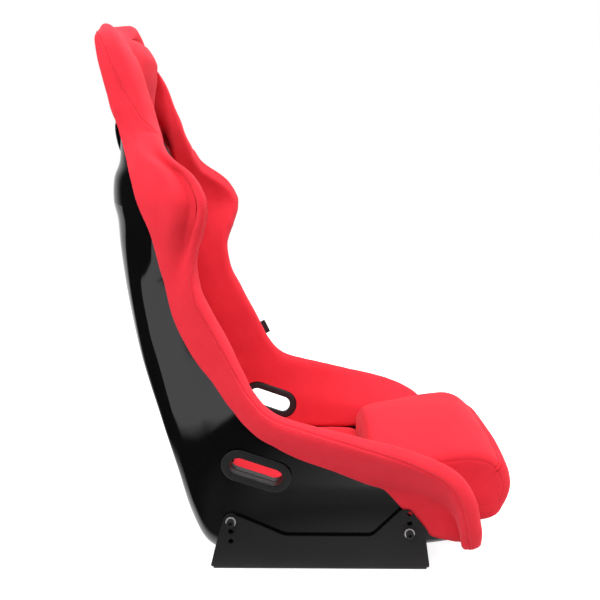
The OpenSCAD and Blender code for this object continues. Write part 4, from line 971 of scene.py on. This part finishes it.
loops = Finish("loop_tape")
fuzz = loops.noise(1800.0, 3.0, 0.7)
loop_tape = loops.surface(
    Base_Color=loops.blend(fuzz, (0.008, 0.008, 0.009), (0.03, 0.03, 0.032)),
    Roughness=0.85 + fuzz * 0.1, Sheen_Weight=0.3, Normal=loops.bump(fuzz, 0.8, 0.0006))

for finish, nodes in ((powder_coat, ("bracket_left", "bracket_right", "side_spacers")),
                      (bolt_black, ("side_bolts",)), (bright_zinc, ("side_washers", "shell_inserts")),
                      (loop_tape, ("pad_strips",))):
    for node in nodes:
        for held in bpy.data.objects[node].material_slots:
            held.material = finish

# ---- side tag ------------------------------------------------------------------------------------
# A folded piece of black webbing, sewn into the seam of the left bolster, with the fold outwards.
tape = Finish("black_webbing")
where = tape.scaled(tape.add("ShaderNodeUVMap", {"uv_map": "cloth"}), 1100.0, 1100.0, 1.0)
along_tape, across_tape = tape.axis(where, 0), tape.axis(where, 1)
ribs = ((along_tape + across_tape) * math.pi).sine() * (across_tape * math.pi * 0.5).sine()
black_webbing = tape.surface(
    Base_Color=tape.blend(ribs * 0.5 + 0.5, (0.006, 0.006, 0.007), (0.022, 0.022, 0.024)),
    Roughness=0.7 + ribs * 0.05, Sheen_Weight=0.15, Normal=tape.bump(ribs, 0.6, 0.0003))
TAG_AT, TAG_W, TAG_OUT, TAG_STEPS = 8.9, 28, 8.5, 9
rim = skin(TAG_AT, RIM_AT)
along = unit(skin(TAG_AT + 0.02, RIM_AT) - skin(TAG_AT - 0.02, RIM_AT))
out = unit(np.cross(along, inward(TAG_AT, RIM_AT)))
into = np.cross(out, along)
root = rim + out * (section_at(TAG_AT)[OVER] - 2)
# the fold in section, outside and back along the inside
loop = [(-2, -1.0), (TAG_OUT - 3, -1.1), (TAG_OUT - 1.2, -1.5), (TAG_OUT - 0.2, -0.9), (TAG_OUT, 0),
        (TAG_OUT - 0.2, 0.9), (TAG_OUT - 1.2, 1.5), (TAG_OUT - 3, 1.1), (-2, 1.0),
        (-2, 0.1), (TAG_OUT - 3, 0.2), (TAG_OUT - 1.4, 0.5), (TAG_OUT - 1.0, 0), (TAG_OUT - 1.4, -0.5),
        (TAG_OUT - 3, -0.2), (-2, -0.1)]
tag = [[root + along * s * TAG_W + out * (x - 0.5 * (2 * s)**4) + into * z for x, z in loop]
       for s in np.linspace(-0.5, 0.5, TAG_STEPS)]
tag_uv = [[s * TAG_W, i] for s in np.linspace(0, 1, TAG_STEPS) for i in np.linspace(0, 20, len(loop))]
piece("side_tag_webbing", np.reshape(tag, (-1, 3)), tube(TAG_STEPS, len(loop)), black_webbing,
      ["side_tag"], tag_uv, 60)

# ---- studio --------------------------------------------------------------------------------------
# A white floor under large soft boxes: overhead, high up on the camera's side, and low behind and
# in front. The floor and the world are white to the camera, and in reflections except on the
# camera's side, which is dark. In reflections the floor is painted dark towards the camera and
# behind the seat, with one painted strip of light. The floor keeps the seat's shadow.
for name, size, place, target, power in (
        ("overhead", (2.2, 1.8), (0.25, 0.15, 2.5), (0, 0, 0.3), 58),
        ("key", (1.3, 1.3), (-0.8, -1.6, 2.2), (0, 0, 0.4), 56),
        ("front_key", (1.2, 1.2), (1.4, -1.2, 2.0), (0, 0, 0.4), 24),
        ("rear_left", (0.5, 1.4), (-2.0, -0.6, 0.75), (-0.2, -0.1, 0.45), 16),
        ("front_fill", (1.2, 1.4), (2.1, -0.2, 0.9), (0, 0, 0.3), 22)):
    light = bpy.data.lights.new(name, "AREA")
    light.shape, light.size, light.size_y, light.energy = "RECTANGLE", *size, power
    softbox = bpy.data.objects.new(name, light)
    softbox.location = place
    softbox.rotation_euler = (Vector(target) - Vector(place)).to_track_quat("-Z", "Z").to_euler()
    softbox.visible_glossy = name == "overhead"
    bpy.context.scene.collection.objects.link(softbox)

WHITE = (1, 1, 1, 1)
ground = Finish("white_floor")
seen, through_glass, mirrored = (ground.add("ShaderNodeLightPath", {}, {}, f"Is {kind} Ray")
                                 for kind in ("Camera", "Transmission", "Glossy"))
here = ground.place()
away = ground.add("ShaderNodeVectorMath", {"operation": "LENGTH"}, {0: here}, 1)
far = ground.add("ShaderNodeMapRange", {}, {"Value": away, "From Min": 0.7, "From Max": 2.5, "To Min": 0.80,
                                            "To Max": 1.0})
glow = ground.add("ShaderNodeEmission", {}, {
    "Color": WHITE, "Strength": seen.at_least(mirrored).at_least(through_glass) * far})
chalk = ground.add("ShaderNodeBsdfDiffuse", {}, {"Color": (0.62, 0.62, 0.62, 1)})
both = ground.add("ShaderNodeAddShader", {}, {0: glow, 1: chalk})
spot_x, spot_y = ground.axis(here, 0), ground.axis(here, 1)


def fades(finish, value, low, high, start=0.0, end=1.0):
    return finish.add("ShaderNodeMapRange", {"interpolation_type": "SMOOTHSTEP"},
                      {"Value": value, "From Min": low, "From Max": high, "To Min": start, "To Max": end})


# painted reflections: to the gloss the floor is painted dark towards the camera and behind the seat,
# but for one glowing strip, a painted highlight that no lamp casts
ripple = ground.noise(2.2) - 0.5
painted_strip_off = (spot_x + 0.42) * 1.31 - (spot_y + 0.65) + ripple * 0.35
painted_strip = (fades(ground, painted_strip_off, -0.14, -0.10) * (1 - fades(ground, painted_strip_off, 0.12, 0.17))
         * (1 - fades(ground, spot_y + ripple * 0.4, -0.74, -0.66)))
# where reflections see the floor white rather than the painted dark
white_in_reflection = fades(ground, spot_y, -0.55, -0.22) * fades(ground, spot_x, -0.35, 0.2) * 0.35
white_in_reflection = white_in_reflection.at_least(fades(ground, spot_y, 0.1, 0.8))
white_in_reflection = white_in_reflection.at_least(fades(ground, spot_y, -0.26, -0.2) * fades(ground, spot_x, -0.6, -0.3))
# the painted reflection: dark floor with the painted strip of light glowing in it
painted_reflection = ground.add("ShaderNodeEmission", {}, {"Color": WHITE, "Strength": painted_strip * 1.2 + 0.01})
ground.add("ShaderNodeOutputMaterial", {}, {
    "Surface": ground.add("ShaderNodeMixShader", {}, {0: mirrored * (1 - white_in_reflection), 1: both, 2: painted_reflection})})
FLOOR_HALF, FLOOR_Z = 9, -0.0003
floor_mesh = bpy.data.meshes.new("floor")
corners = (-1, -1), (1, -1), (1, 1), (-1, 1)
floor_mesh.from_pydata([(x * FLOOR_HALF, y * FLOOR_HALF, FLOOR_Z) for x, y in corners], [], [(0, 1, 2, 3)])
floor_mesh.materials.append(ground.material)
floor = bpy.data.objects.new("floor", floor_mesh)
bpy.context.scene.collection.objects.link(floor)

world = bpy.data.worlds.new("studio")
world.use_nodes = True
bpy.context.scene.world = world
air = Finish("studio", world.node_tree)
seen, through_glass, mirrored = (air.add("ShaderNodeLightPath", {}, {}, f"Is {kind} Ray")
                                 for kind in ("Camera", "Transmission", "Glossy"))
seen = seen.at_least(through_glass)
facing = air.axis(air.add("ShaderNodeTexCoord", {}, {}, "Generated"), 1)
level = seen + mirrored * fades(air, facing, 0.0, 0.6, 0.015, 0.9) + (1 - (seen + mirrored).at_most(1)) * 0.14
air.add("ShaderNodeOutputWorld", {}, {
    "Surface": air.add("ShaderNodeBackground", {}, {"Color": WHITE, "Strength": level})})
bpy.context.scene.view_settings.view_transform = "Standard"
